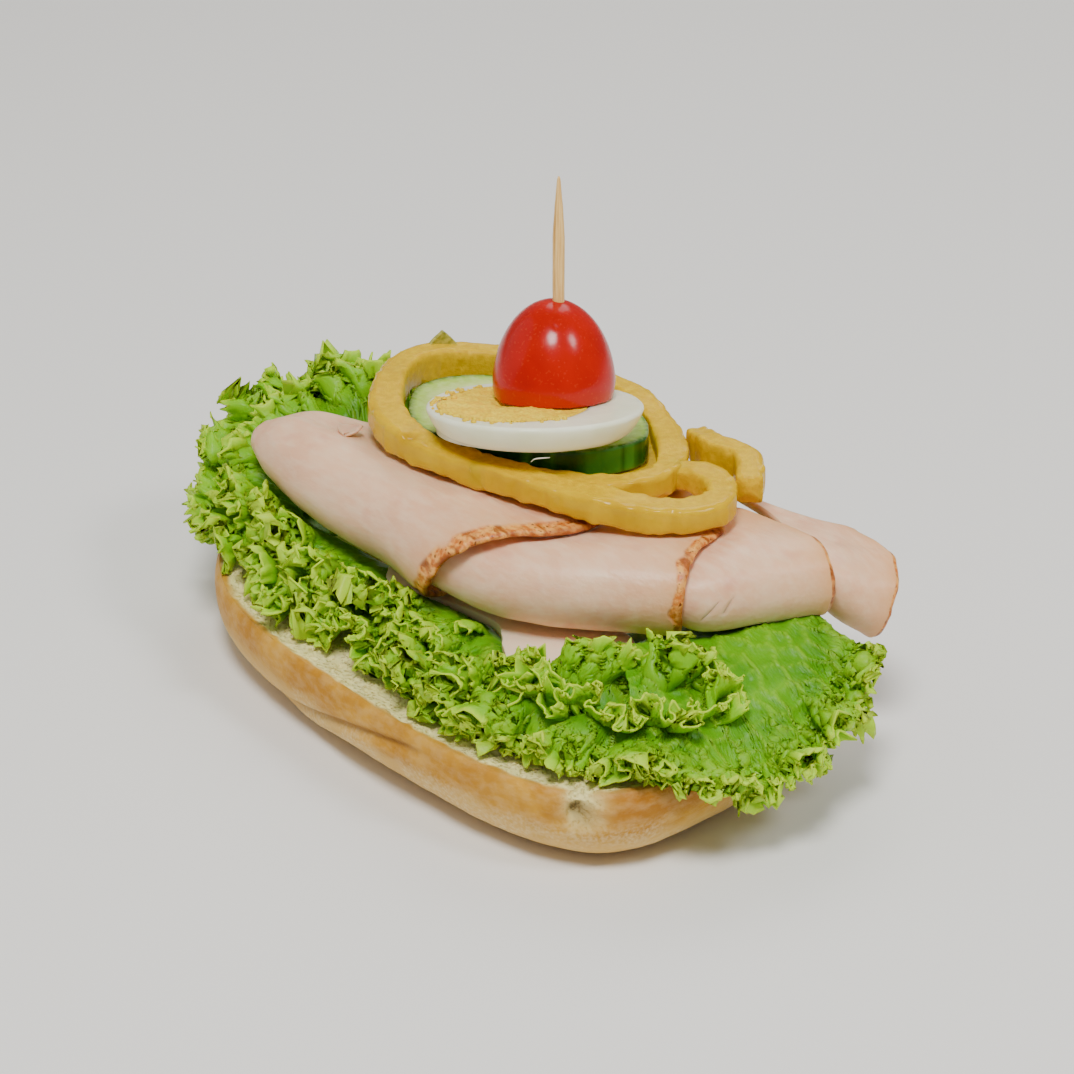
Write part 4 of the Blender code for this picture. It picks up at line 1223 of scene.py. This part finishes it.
@dataclass
class Ham:
    """Four folded slices fanned from left to right, and the flat corner under them."""

    def slices(self) -> tuple[FoldedSlice, ...]:
        """Lists the folded slices, from the top one at the left to the lowest at the right."""
        none = (0.0,) * 10
        return (
            FoldedSlice("ham_fold_first", "ham_slice_a", (
                ((-54.2, -10.4), 4.0, 33.4, 38.6, 34.2, 38.2, 4.6, 6.0),
                ((-47.0, -12.9), 2.0, 30.4, 41.3, 31.2, 40.4, 9.0, 13.5),
                ((-36.0, -14.7), 0.0, 28.4, 42.3, 30.6, 38.8, 14.0, 24.0),
                ((-22.0, -15.0), 0.0, 27.2, 42.6, 30.4, 37.0, 17.0, 40.0),
                ((-9.0, -14.2), 0.0, 26.4, 42.6, 30.0, 36.8, 18.0, 50.0),
                ((3.0, -15.8), 0.0, 25.9, 42.6, 29.6, 38.0, 16.0, 52.0)), none,
                (-10.0, -6.0, -2.0, 0.0, 4.6, 8.4, 12.6, 17.8, 10.5, -4.0), 61, 3.3, 5.0, 0.5,
                (((-18.5, -14.3, 39.5), (-16.5, -13.0, 40.9)), ((-12.6, -11.0, 42.2), (-9.5, -10.5, 42.4)))),
            FoldedSlice("ham_fold_second", "ham_slice_b", (
                ((2.0, -12.6), 10.0, 27.9, 39.7, 31.0, 37.0, 12.0, 14.0),
                ((14.0, -10.9), 20.0, 27.0, 39.6, 30.6, 35.4, 14.0, 22.0),
                ((25.0, -5.2), 33.0, 26.4, 39.7, 30.6, 35.0, 15.0, 32.0),
                ((34.6, 2.8), 40.0, 26.3, 40.3, 30.6, 36.4, 15.0, 44.0),
                ((43.7, 11.3), 41.0, 26.3, 40.4, 30.6, 38.4, 14.0, 40.0)),
                (4.0, 3.0, 1.0, 0.0, 0.0, -1.0, 0.5, 7.0, 12.0, 10.0),
                (-6.6, -4.8, -2.4, -0.9, -0.5, 0.0, 0.8, 4.6, 2.0, -9.0), 67, 2.1, 5.0, 0.45,
                (((19.6, -9.4, 33.4), (22.6, -7.0, 36.2)), ((18.0, -9.9, 31.6), (21.4, -8.4, 31.4)),
                 ((24.0, -6.2, 36.0), (25.4, -4.6, 37.6)))),
            FoldedSlice("ham_fold_third", "ham_slice_c", (
                ((40.4, 11.2), 55.0, 29.4, 37.0, 31.2, 35.5, 8.0, 14.0),
                ((45.2, 15.6), 64.0, 27.0, 38.2, 30.8, 37.2, 11.0, 24.0),
                ((49.5, 25.3), 66.0, 26.6, 39.2, 30.4, 37.6, 12.0, 31.0),
                ((54.8, 37.0), 66.0, 26.7, 38.9, 30.2, 37.6, 12.0, 33.0)),
                (2.4, 1.4, 0.4, 0.3, 0.2, 0.0, 1.0, 6.0, 10.0, 12.0),
                (-5.6, -3.7, -1.7, -0.5, -0.4, -0.3, -0.8, -4.6, -9.4, -15.5), 73, 0.9, 4.5, 0.4,
                (((44.6, 14.0, 31.0), (46.4, 17.0, 34.7)), ((46.6, 17.6, 32.4), (47.4, 19.6, 35.6)))),
            FoldedSlice("ham_fold_last", "ham_slice_d", (
                ((49.4, 37.0), 60.0, 30.4, 35.0, 31.2, 34.4, 8.0, 31.0),
                ((54.0, 40.4), 60.0, 24.0, 34.8, 27.0, 34.6, 9.0, 20.0),
                ((56.8, 44.3), 60.0, 20.4, 33.4, 24.4, 34.2, 9.0, 17.0),
                ((58.0, 46.4), 60.0, 18.9, 32.4, 23.0, 33.6, 9.0, 15.0)),
                (0.0, 0.0, 0.0, 0.0, 0.0, 0.0, 0.0, -1.0, -2.5, -7.0),
                (-4.0, -3.0, -1.6, -0.4, 1.2, 2.6, 3.8, 3.2, 1.8, -1.5), 79, 0.8, 3.5, 0.35),
        )

    def build(self) -> None:
        """Makes all the slices with one finish."""
        material = CookedHam().build()
        for one in self.slices():
            one.build(material)
        FlatSlice().build(material)
        TornFlap().build(material)


@dataclass(frozen=True)
class PepperStrip:
    """A strip of sweet pepper: centre line points, each with the strip's half width and half height."""

    line: tuple
    closed: bool
    along: int
    seed: int
    around: int = 40
    squareness: float = 0.42
    crease: tuple = (-14.9, -3.1, 49.5)

    def shape(self) -> Shape:
        """A rounded oblong carried along the line, outer side as skin and the rest as cut flesh."""
        found = spline(self.line, even_samples(self.line, self.along, self.closed), self.closed)
        path, wide, high = found[:, :3].copy(), found[:, 3], found[:, 4]
        beat = np.stack([path[:, 0], path[:, 1], np.zeros(len(path))], axis=-1)
        wide = wide * (1 + 0.12 * noise(beat, 9.0, self.seed) + 0.03 * noise(beat, 2.4, self.seed + 1))
        high = high * (1 + 0.08 * noise(beat, 9.0, self.seed + 2) + 0.015 * noise(beat, 2.2, self.seed + 3))
        path[:, 2] += 0.3 * noise(beat, 12.0, self.seed + 4)
        tangent = gradient(path, 0, self.closed)
        side = unit(np.cross(np.array((0.0, 0.0, 1.0)), tangent))
        rise = unit(np.cross(tangent, side))
        angle = turns(self.around)
        cosine = np.sign(np.cos(angle)) * np.abs(np.cos(angle)) ** self.squareness
        sine = np.sign(np.sin(angle)) * np.abs(np.sin(angle)) ** self.squareness
        dish = 1 - 0.1 * (np.abs(sine) > 0.7) * (1 - np.abs(cosine)) ** 2
        rings = (path[:, None] + side[:, None] * (wide[:, None] * cosine)[..., None]
                 + rise[:, None] * (high[:, None] * sine * dish)[..., None])
        outer = ease(0.35, 0.75, np.repeat(cosine[None, :], self.along, axis=0))
        away = unit(rings - path[:, None])
        window = ease(-0.25, 0.35, noise(beat, 6.0, self.seed + 10))[:, None]
        flute = 0.3 * window * noise(rings * (1.0, 1.0, 0.12), 1.4, self.seed + 6)
        flute = flute * ease(0.2, 0.9, np.abs(cosine))
        crimp = flute + 0.14 * noise(rings, 4.5, self.seed + 7) + 0.05 * noise(rings, 1.6, self.seed + 8)
        corner = ease(0.55, 0.95, np.abs(cosine)) * ease(0.55, 0.95, np.abs(sine))
        crimp += 0.4 * corner * noise(rings * (1.0, 1.0, 0.3), 2.2, self.seed + 9)
        gap = np.linalg.norm(rings - np.array(self.crease), axis=-1)
        pinch = np.exp(-(gap / 1.3) ** 2)
        rings = rings + away * (crimp - 1.1 * pinch)[..., None]
        # The crease mark paints shade into the pinch
        marks = {"flesh": 1 - outer, "crease": np.clip(0.8 * pinch, 0.0, 1.0)}
        if not self.closed:
            fade = np.minimum(np.arange(self.along), np.arange(self.along)[::-1])
            marks["flesh"] = np.maximum(marks["flesh"], (fade < 2)[:, None] * 1.0)
        return closed_rings(rings, marks, wrap=self.closed)


@dataclass
class Pepper:
    """The front strip, which is a hoop with a small second lobe, the strip behind it, and a scrap of stem."""

    hoop: tuple = (
        (-29.6, 2.6, 47.3, 3.1, 3.0), (-36.8, 8.9, 46.6, 3.0, 3.2), (-42.6, 15.2, 45.9, 2.8, 3.3),
        (-46.0, 22.0, 45.1, 2.7, 3.4), (-45.4, 29.6, 44.0, 2.6, 3.5), (-39.8, 37.6, 42.9, 2.5, 3.5),
        (-31.0, 44.2, 42.4, 2.5, 3.4), (-19.0, 47.6, 42.2, 2.5, 3.2), (-8.8, 47.4, 42.3, 2.6, 3.0),
        (1.2, 43.6, 42.6, 2.7, 2.8), (10.4, 38.0, 43.1, 2.8, 2.6), (17.0, 31.6, 43.6, 2.7, 2.5),
        (19.4, 24.6, 44.1, 2.5, 2.4), (16.8, 17.0, 44.7, 2.5, 2.3), (10.8, 10.2, 45.4, 2.6, 2.3),
        (3.6, 4.2, 46.1, 2.9, 2.5), (-4.4, 1.0, 46.6, 3.1, 2.7), (-12.5, -1.0, 46.9, 3.1, 2.7),
        (-21.0, -1.0, 47.3, 3.1, 2.8))
    lobe: tuple = (
        (-1.6, 2.0, 46.4, 2.6, 2.2), (4.5, 4.0, 46.2, 3.1, 2.6), (13.1, 7.2, 45.8, 3.1, 2.6),
        (20.7, 11.0, 45.4, 3.1, 2.6), (28.3, 15.2, 44.9, 3.1, 2.6), (33.0, 21.0, 44.5, 3.1, 2.6),
        (34.2, 26.6, 44.4, 3.0, 2.5), (31.2, 31.2, 44.3, 2.8, 2.5), (26.2, 33.6, 44.2, 2.7, 2.5),
        (21.0, 32.8, 44.0, 2.6, 2.4), (17.4, 30.4, 43.8, 2.2, 2.0))
    behind: tuple = (
        (9.8, 45.2, 42.4, 2.1, 3.2), (13.4, 43.8, 42.8, 2.4, 3.6), (17.0, 42.8, 43.2, 2.7, 3.6),
        (20.6, 43.4, 43.9, 2.8, 3.1), (24.6, 43.4, 43.9, 2.8, 3.1), (28.5, 40.7, 43.8, 2.8, 3.0),
        (31.6, 37.8, 43.7, 2.6, 2.8))
    rib: tuple = (
        (14.4, 13.0, 43.0, 1.8, 1.4), (17.4, 20.4, 42.2, 3.0, 1.7), (13.6, 28.0, 41.4, 5.8, 1.8),
        (8.8, 35.4, 40.8, 6.0, 1.8), (-1.0, 41.2, 40.4, 4.4, 1.8), (-11.0, 44.4, 40.2, 3.0, 1.6))
    stem: tuple = ((-47.6, 26.6, 47.0), (-46.6, 29.6, 47.4), (-45.2, 32.2, 46.8))

    def build(self) -> None:
        """Makes the strips and the stem scrap."""
        material = SweetPepper().build()
        front = (PepperStrip(self.hoop, True, 560, 101), PepperStrip(self.lobe[::-1], False, 260, 111),
                 PepperStrip(self.rib[::-1], False, 160, 117))
        make_piece("pepper_hoop", joined([strip.shape() for strip in front]), material,
                   ["pepper_strip_front"])
        make_piece("pepper_behind", PepperStrip(self.behind, False, 170, 121).shape(), material,
                   ["pepper_strip_back"])
        foot = spline(self.stem, np.linspace(0.0, 1.0, 40))
        up = np.linspace(0.0, 1.0, 16)
        height = 2.8 * (1 - np.abs(np.linspace(-1.0, 1.0, 40))) ** 0.9 + 0.3
        sheet = foot[:, None] + np.array((0.1, -0.1, 1.0)) * (height[:, None] * up[None, :])[..., None]
        sheet[..., 0] += 0.4 * noise(sheet, 2.0, 131)
        make_piece("pepper_stem_scrap", two_sided(sheet, 0.7, {}), StemEnd().build())


@dataclass(frozen=True)
class DiscFrame:
    """A round slice that leans back: the centre of its upper face and three directions."""

    centre: Array
    lean: float

    def directions(self) -> tuple[Array, Array, Array]:
        """Unit vectors across, deep and up from the slice."""
        angle = math.radians(self.lean)
        normal = unit(AWAY * math.sin(angle) + np.array((0.0, 0.0, math.cos(angle))))
        return unit(ACROSS), unit(np.cross(normal, ACROSS)), normal

    def rings(self, profile: Array, half_across: float, half_deep: float, around: int,
              shift: float = 0.0) -> Array:
        """Ellipses of a profile.

        Args:
            profile: For each ring, its share of the full size, an inset and its depth below the face.
            half_across: Half size across.
            half_deep: Half size from front to back.
            around: Points in a ring.
            shift: How far the ellipse lies across from the centre.

        Returns:
            Grid of points, one ring per row.
        """
        across, deep, normal = self.directions()
        angle = turns(around)
        share, inset, depth = (np.asarray(profile, float)[:, i, None, None] for i in range(3))
        flat = (np.cos(angle)[None, :, None] * across * (half_across - inset)
                + np.sin(angle)[None, :, None] * deep * (half_deep - inset))
        return self.centre - normal * depth + across * shift + flat * share


@dataclass
class CucumberSlice:
    """One thick slice under the egg, pressed in where the pepper strip passes it."""

    frame: DiscFrame = DiscFrame(np.array((-10.0, 23.2, 46.6)), 9.0)
    half_across: float = 23.4
    half_deep: float = 20.8
    thickness: float = 5.2
    around: int = 300

    def press_in(self, rings: Array, rim_ring: int, hoop: tuple) -> Array:
        """Draws each spoke of the slice in until its rim clears the pepper strip by a gap.

        Args:
            rings: Grid of points.
            rim_ring: The row at the slice's widest.
            hoop: Centre line of the strip, with its half width and half height.

        Returns:
            The grid, drawn in.
        """
        strand = spline(hoop, np.linspace(0.0, 1.0, 400, endpoint=False), True)
        centre = self.frame.centre[:2]
        rim = rings[rim_ring, :, :2]
        away = rim[:, None] - strand[:, :2]
        distance = np.linalg.norm(away, axis=-1)
        nearest = np.argmin(distance, axis=-1)
        away = unit(away[np.arange(len(rim)), nearest])
        foot = strand[nearest]
        inside = np.sign(np.sum(away * (strand[:, :2].mean(axis=0) - foot[:, :2]), axis=-1))
        reach = np.maximum(foot[:, 3] + 1.0, inside * distance.min(axis=-1))
        held = foot[:, :2] + away * (inside * reach)[:, None]
        share = np.sum((held - centre) * unit(rim - centre), axis=-1) / np.linalg.norm(rim - centre, axis=-1)
        share = np.min([np.roll(share, step) for step in range(-4, 5)], axis=0)
        share = np.mean([np.roll(share, step) for step in range(-6, 7)], axis=0)
        pressed = rings.copy()
        pressed[..., :2] = centre + (rings[..., :2] - centre) * share[:, None]
        return pressed

    def build(self) -> None:
        """Makes the slice: underside, ridged skin and a slightly hollow upper face."""
        deep = self.thickness
        under = [(s, 0.0, deep) for s in np.linspace(0.05, 0.97, 14)]
        wall = [(1.0, 0.2, deep - 0.1)] + [(1.0, 0.0, d) for d in np.linspace(deep - 0.4, 0.35, 12)]
        face = [(1.0, 0.25, 0.06)] + [(s, 0.3, 0.0) for s in np.linspace(0.985, 0.05, 44)]
        profile = np.array(under + wall + face)
        rings = self.frame.rings(profile, self.half_across, self.half_deep, self.around)
        row = np.arange(len(profile))
        face_row = len(under) + len(wall)
        side = (row >= len(under)) & (row < face_row)
        angle = turns(self.around)
        ring_line = np.stack([np.cos(angle) * 22, np.sin(angle) * 22, angle * 0], axis=-1)
        ridge = noise(ring_line, 2.2, 141) + 0.6 * noise(ring_line, 0.9, 143)
        spread = unit(rings - self.frame.centre)
        rings = rings + spread * (0.14 * ridge[None, :] * side[:, None])[..., None]
        top = row > face_row
        hollow = 0.35 * (1 - profile[:, 0] ** 4) * top
        rings[..., 2] -= hollow[:, None] + 0.1 * top[:, None] * noise(rings, 2.0, 147)
        # The far left of the slice is wider, and its far side lifts
        far = np.clip((rings - self.frame.centre) @ AWAY / self.half_deep, 0.0, 1.1)
        left = np.clip(-((rings - self.frame.centre) @ ACROSS) / self.half_across, 0.0, 1.1)
        corner = np.clip(2 * left * far, 0.0, 1.0)[..., None]
        rings += corner * (5.0 * AWAY - 4.5 * ACROSS) + (far**2)[..., None] * AWAY * 2.5
        rings[..., 2] += 0.9 * far**2 + 0.8 * left * far
        rings = self.press_in(rings, len(under) + len(wall) // 2, Pepper().hoop)
        marks = {"skin": np.repeat(side[:, None].astype(float), self.around, axis=1),
                 "inner": np.repeat((1 - profile[:, 0])[:, None], self.around, axis=1),
                 "stripe": np.repeat((ease(0.05, 0.75, ridge) * 0.85)[None, :], len(profile), axis=0)}
        make_piece("cucumber_cut", closed_rings(rings, marks), Cucumber().build(),
                   ["cucumber_slice"])


@dataclass
class EggSlice:
    """A thick slice of boiled egg: a white that narrows downwards, and a crumbly yolk set to its left."""

    frame: DiscFrame = DiscFrame(np.array((-2.2, 15.8, 54.9)), 12.0)
    half_across: float = 19.8
    half_deep: float = 18.9
    thickness: float = 5.0
    yolk_radius: float = 13.7
    yolk_shift: float = -4.0
    crumb_limits: tuple = (18.9, 18.0)
    around: int = 220

    def build_white(self) -> None:
        """Makes the white as one closed ring: outer wall, upper face, wall of the hole and underside."""
        deep = np.linspace(self.thickness, 0.0, 18)
        drop = deep / self.thickness
        outer = [(1.0, 2.6 * d**1.6 + 0.5 * (1 - min(1.0, (1 - d) * 6)) + 0.5 * max(0.0, 1 - z / 0.6) ** 2, z)
                 for d, z in zip(drop, deep)]
        outside = self.frame.rings(np.array(outer), self.half_across, self.half_deep, self.around)
        across, deep_way, normal = self.frame.directions()
        spoke = spokes(turns(self.around), across, deep_way)
        hole = self.frame.centre + across * self.yolk_shift + spoke * (self.yolk_radius + 0.2)
        steps = np.linspace(0.0, 1.0, 16)[1:, None, None]
        top = outside[-1] * (1 - steps) + hole * steps
        wall = hole - normal * np.array((0.6, 2.0, 4.0, self.thickness))[:, None, None]
        bottom = wall[-1] * (1 - steps[:6]) + outside[0] * steps[:6]
        loops = np.concatenate([outside, top, wall, bottom[:-1]])
        loops = loops + normal * (0.12 * rough(loops, 7.0, 151, 2))[..., None]
        shape = closed_rings(loops, {}, wrap=True)
        make_piece("egg_white_ring", shape, BoiledWhite().build(), ["egg_white"])

    def build_yolk(self) -> None:
        """Makes the yolk with a crumbled face, and loose crumbs beside it."""
        hidden = [(s, 0.0, self.thickness) for s in np.linspace(0.05, 0.95, 8)]
        hidden += [(1.0, 0.0, d) for d in np.linspace(self.thickness - 0.2, 0.4, 6)]
        face = [(s, 0.0, 0.0) for s in np.linspace(0.99, 0.03, 70)]
        profile = np.array(hidden + face)
        rings = self.frame.rings(profile, self.yolk_radius, self.yolk_radius, 260, self.yolk_shift)
        top = (np.arange(len(profile)) >= len(hidden))[:, None]
        across, deep_way, normal = self.frame.directions()
        relief = 0.26 * rough(rings, 1.6, 161, 3) + 0.4 * noise(rings, 6.0, 163)
        relief = relief + 0.12 * noise(rings, 0.6, 165)
        chip = np.clip(noise(rings, 3.0, 167) - 0.45, 0.0, 1.0)
        rings = rings + normal * (top * (relief + 0.15 - chip))[..., None]
        material = BoiledYolk().build()
        make_piece("egg_yolk_crumbly", closed_rings(rings, {}), material, ["egg_yolk"])
        random = np.random.default_rng(5)
        lumps = []
        for _ in range(90):
            turn = random.uniform(1.6, 5.4)
            radius = self.yolk_radius + random.normal(0.3, 0.7)
            place = (self.frame.centre + across * (self.yolk_shift + radius * math.cos(turn))
                     + deep_way * radius * math.sin(turn) + normal * 0.12)
            flat = place - self.frame.centre
            limit_across, limit_deep = self.crumb_limits
            if (flat @ across / limit_across) ** 2 + (flat @ deep_way / limit_deep) ** 2 > 1:
                continue
            lumps.append(crumb_lump(place, random.uniform(0.25, 0.6), random))
        make_piece("egg_yolk_crumbs", joined(lumps), material)

    def build_thread(self) -> None:
        """Makes the thin scrap of white that hangs from the slice's front rim."""
        line = np.array(((15.2, 4.6, 54.3), (13.6, 3.9, 53.8), (12.4, 3.5, 53.3), (11.6, 3.3, 52.5)))
        path = spline(line, np.linspace(0.0, 1.0, 40))
        tangent = unit(gradient(path, 0))
        side = unit(np.cross(tangent, np.array((0.0, 0.0, 1.0))))
        rise = np.cross(side, tangent)
        angle = turns(10)
        radius = (0.2 * np.sin(math.pi * np.linspace(0.06, 0.94, 40)) ** 0.5)[:, None, None]
        rings = path[:, None] + radius * (np.cos(angle)[None, :, None] * side[:, None]
                                          + 0.5 * np.sin(angle)[None, :, None] * rise[:, None])
        make_piece("egg_white_thread", closed_rings(rings, {}), bpy.data.materials["boiled_egg_white"])

    def build(self) -> None:
        """Makes the white, the yolk and the thread."""
        self.build_white()
        self.build_yolk()
        self.build_thread()


def crumb_lump(place: Array, size: float, random: np.random.Generator) -> Shape:
    """A small uneven lump: a ball of five rings whose radius wanders.

    Args:
        place: Its middle.
        size: Its radius.
        random: Source of its unevenness.

    Returns:
        The closed shape.
    """
    lift = np.linspace(-0.42, 0.42, 5) * math.pi
    angle = turns(8)
    ball = np.stack([np.cos(lift)[:, None] * np.cos(angle), np.cos(lift)[:, None] * np.sin(angle),
                     np.repeat(0.7 * np.sin(lift)[:, None], 8, axis=1)], axis=-1)
    return closed_rings(place + ball * size * random.uniform(0.75, 1.25, (5, 8, 1)), {})


@dataclass
class TomatoHalf:
    """Half a cherry tomato, cut face down, with its skin drawn tight."""

    frame: DiscFrame = DiscFrame(STICK_POINT, 12.0)
    radius: float = 11.4
    height: float = 17.9
    shift: float = -0.95
    scratch: tuple = (-1.6, 20.6, 69.6)
    face_rings: int = 8
    nicked_rings: int = 6
    around: int = 220

    def build(self) -> None:
        """Makes a dome whose radius falls as (1 - h^2.25)^0.52, with soft lobes and a nicked lower rim."""
        across, deep, normal = self.frame.directions()
        base = STICK_POINT + normal * 0.45 + across * self.shift
        angle = turns(self.around)
        spoke = spokes(angle, across, deep)
        share = np.concatenate([np.zeros(self.face_rings), 1 - (1 - np.linspace(0.0, 1.0, 92)[:-1]) ** 1.5])
        height = self.height * share
        radius = self.radius * (1 - share**2.25) ** 0.52 - 0.55 * np.clip(1 - height / 4.0, 0.0, 1.0) ** 2
        radius[:self.face_rings] *= np.linspace(0.1, 0.985, self.face_rings)
        lobes = 1 + 0.01 * np.cos(3 * angle + 0.8) + 0.006 * np.cos(5 * angle)
        rings = (base + normal * height[:, None, None]
                 + spoke[None] * radius[:, None, None] * lobes[None, :, None])
        nick = 0.35 * noise(rings[self.face_rings], 2.0, 171)
        fade = np.linspace(1.0, 0.0, self.nicked_rings)
        rings[self.face_rings:self.face_rings + self.nicked_rings] += (
            normal * (nick[None, :] * fade[:, None])[..., None])
        gap = np.linalg.norm((rings - np.array(self.scratch)) * (1.0, 1.0, 0.6), axis=-1)
        rings = rings - unit(rings - base) * (0.05 * np.exp(-((gap - 1.0) / 0.3) ** 2))[..., None]
        low = np.repeat((1 - ease(0.0, 5.0, height))[:, None], self.around, axis=1) * 0.7
        on_face = (np.arange(len(height)) < self.face_rings).astype(float)
        cut = np.repeat(on_face[:, None], self.around, axis=1)
        make_piece("tomato_dome", closed_rings(rings, {"low": low, "cut": cut}), TomatoSkin().build(),
                   ["tomato_half"])


@dataclass
class Stick:
    """Cocktail stick, pointed at both ends."""

    radius: float = 1.1
    above: float = 41.0
    below: float = 46.0
    taper: float = 11.0
    steps: int = 200
    around: int = 28

    def build(self) -> None:
        """Makes the stick as rings along its axis."""
        axis = unit(np.array((-0.766 * STICK_LEAN, 0.643 * STICK_LEAN, 0.975)))
        side = unit(np.cross(axis, np.array((0.0, 1.0, 0.0))))
        other = np.cross(axis, side)
        stations = np.array(((-self.below, 0.2), (-self.below + self.taper * 0.5, 0.74),
                             (-self.below + self.taper, self.radius), (self.above - self.taper, self.radius),
                             (self.above - self.taper * 0.5, 0.76), (self.above - 0.5, 0.3),
                             (self.above, 0.12)))
        along = np.linspace(-self.below, self.above, self.steps)
        radius = np.interp(along, stations[:, 0], stations[:, 1])
        angle = turns(self.around)
        spoke = spokes(angle, side, other)
        rings = STICK_POINT + axis * along[:, None, None] + spoke[None] * radius[:, None, None]
        rings = rings + spoke * (0.03 * noise(rings * (1.0, 1.0, 0.1), 0.4, 181))[..., None]
        marks = {"around": np.repeat(3.2 * np.sin(angle + 0.6)[None, :], self.steps, axis=0),
                 "along": np.repeat((along / 9.0)[:, None], self.around, axis=1)}
        make_piece("birch_stick", closed_rings(rings, marks), BirchStick().build(),
                   ["cocktail_stick"])


@dataclass
class Studio:
    """Plain pale floor, soft lights and the camera at the photograph's angle."""

    camera_place: tuple = (0.37196, -0.29768, 0.28719)
    azimuth: float = 50.0
    elevation: float = 28.0
    lens: float = 100.0
    lights: tuple = (
        ("front_softbox", (0.30, -0.30, 0.92), 0.30, 8.6), ("right_softbox", (0.62, 0.30, 0.80), 0.26, 3.2),
        ("left_fill", (-1.30, -1.20, 0.90), 2.4, 6.0), ("back_fill", (-0.40, 0.50, 0.70), 0.5, 2.2))

    def build_floor(self) -> None:
        """Makes the floor, just below the roll's base."""
        mesh = bpy.data.meshes.new("floor")
        corners = [(x, y, -0.0002) for x, y in ((-4, -4), (4, -4), (4, 4), (-4, 4))]
        mesh.from_pydata(corners, [], [(0, 1, 2, 3)])
        floor = bpy.data.objects.new("floor", mesh)
        bpy.context.scene.collection.objects.link(floor)
        material = bpy.data.materials.new("matt_pale_floor")
        material.use_nodes = True
        shader = material.node_tree.nodes["Principled BSDF"]
        shader.inputs["Base Color"].default_value = to_linear("#F1EFEA")
        shader.inputs["Roughness"].default_value = 0.9
        mesh.materials.append(material)

    def build_light(self, name: str, place: Sequence[float], size: float, power: float) -> None:
        """Makes one round soft light aimed at the toppings."""
        lamp = bpy.data.lights.new(name, "AREA")
        lamp.shape = "DISK"
        lamp.size = size
        lamp.energy = power
        light = bpy.data.objects.new(name, lamp)
        light.location = place
        light.rotation_euler = (Vector(place) - Vector((0.0, 0.0, 0.03))).to_track_quat("Z", "Y").to_euler()
        bpy.context.scene.collection.objects.link(light)

    def build_camera(self) -> None:
        """Makes the camera where the photograph was taken from."""
        a, e = math.radians(self.azimuth), math.radians(self.elevation)
        back = Vector((math.sin(a) * math.cos(e), -math.cos(a) * math.cos(e), math.sin(e)))
        data = bpy.data.cameras.new("camera")
        data.lens = self.lens
        data.sensor_width = 36.0
        data.clip_start = 0.01
        camera = bpy.data.objects.new("camera", data)
        camera.location = self.camera_place
        camera.rotation_euler = (-back).to_track_quat("-Z", "Y").to_euler()
        bpy.context.scene.collection.objects.link(camera)
        bpy.context.scene.camera = camera

    def build(self) -> None:
        """Makes floor, lights, sky and camera."""
        self.build_floor()
        for name, place, size, power in self.lights:
            self.build_light(name, place, size, power)
        world = bpy.data.worlds.new("soft_studio")
        world.use_nodes = True
        sky = world.node_tree.nodes["Background"]
        sky.inputs[0].default_value = to_linear("#F4F2EE")
        sky.inputs[1].default_value = 0.28
        bpy.context.scene.world = world
        self.build_camera()


def main() -> None:
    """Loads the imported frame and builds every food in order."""
    logging.basicConfig(level=logging.INFO, format="%(message)s")
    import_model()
    for part in (Studio, Roll, Lettuce, Ham, Pepper, CucumberSlice, EggSlice, TomatoHalf, Stick):
        LOG.info("building %s", part.__name__)
        part().build()


if __name__ == "__main__":
    main()
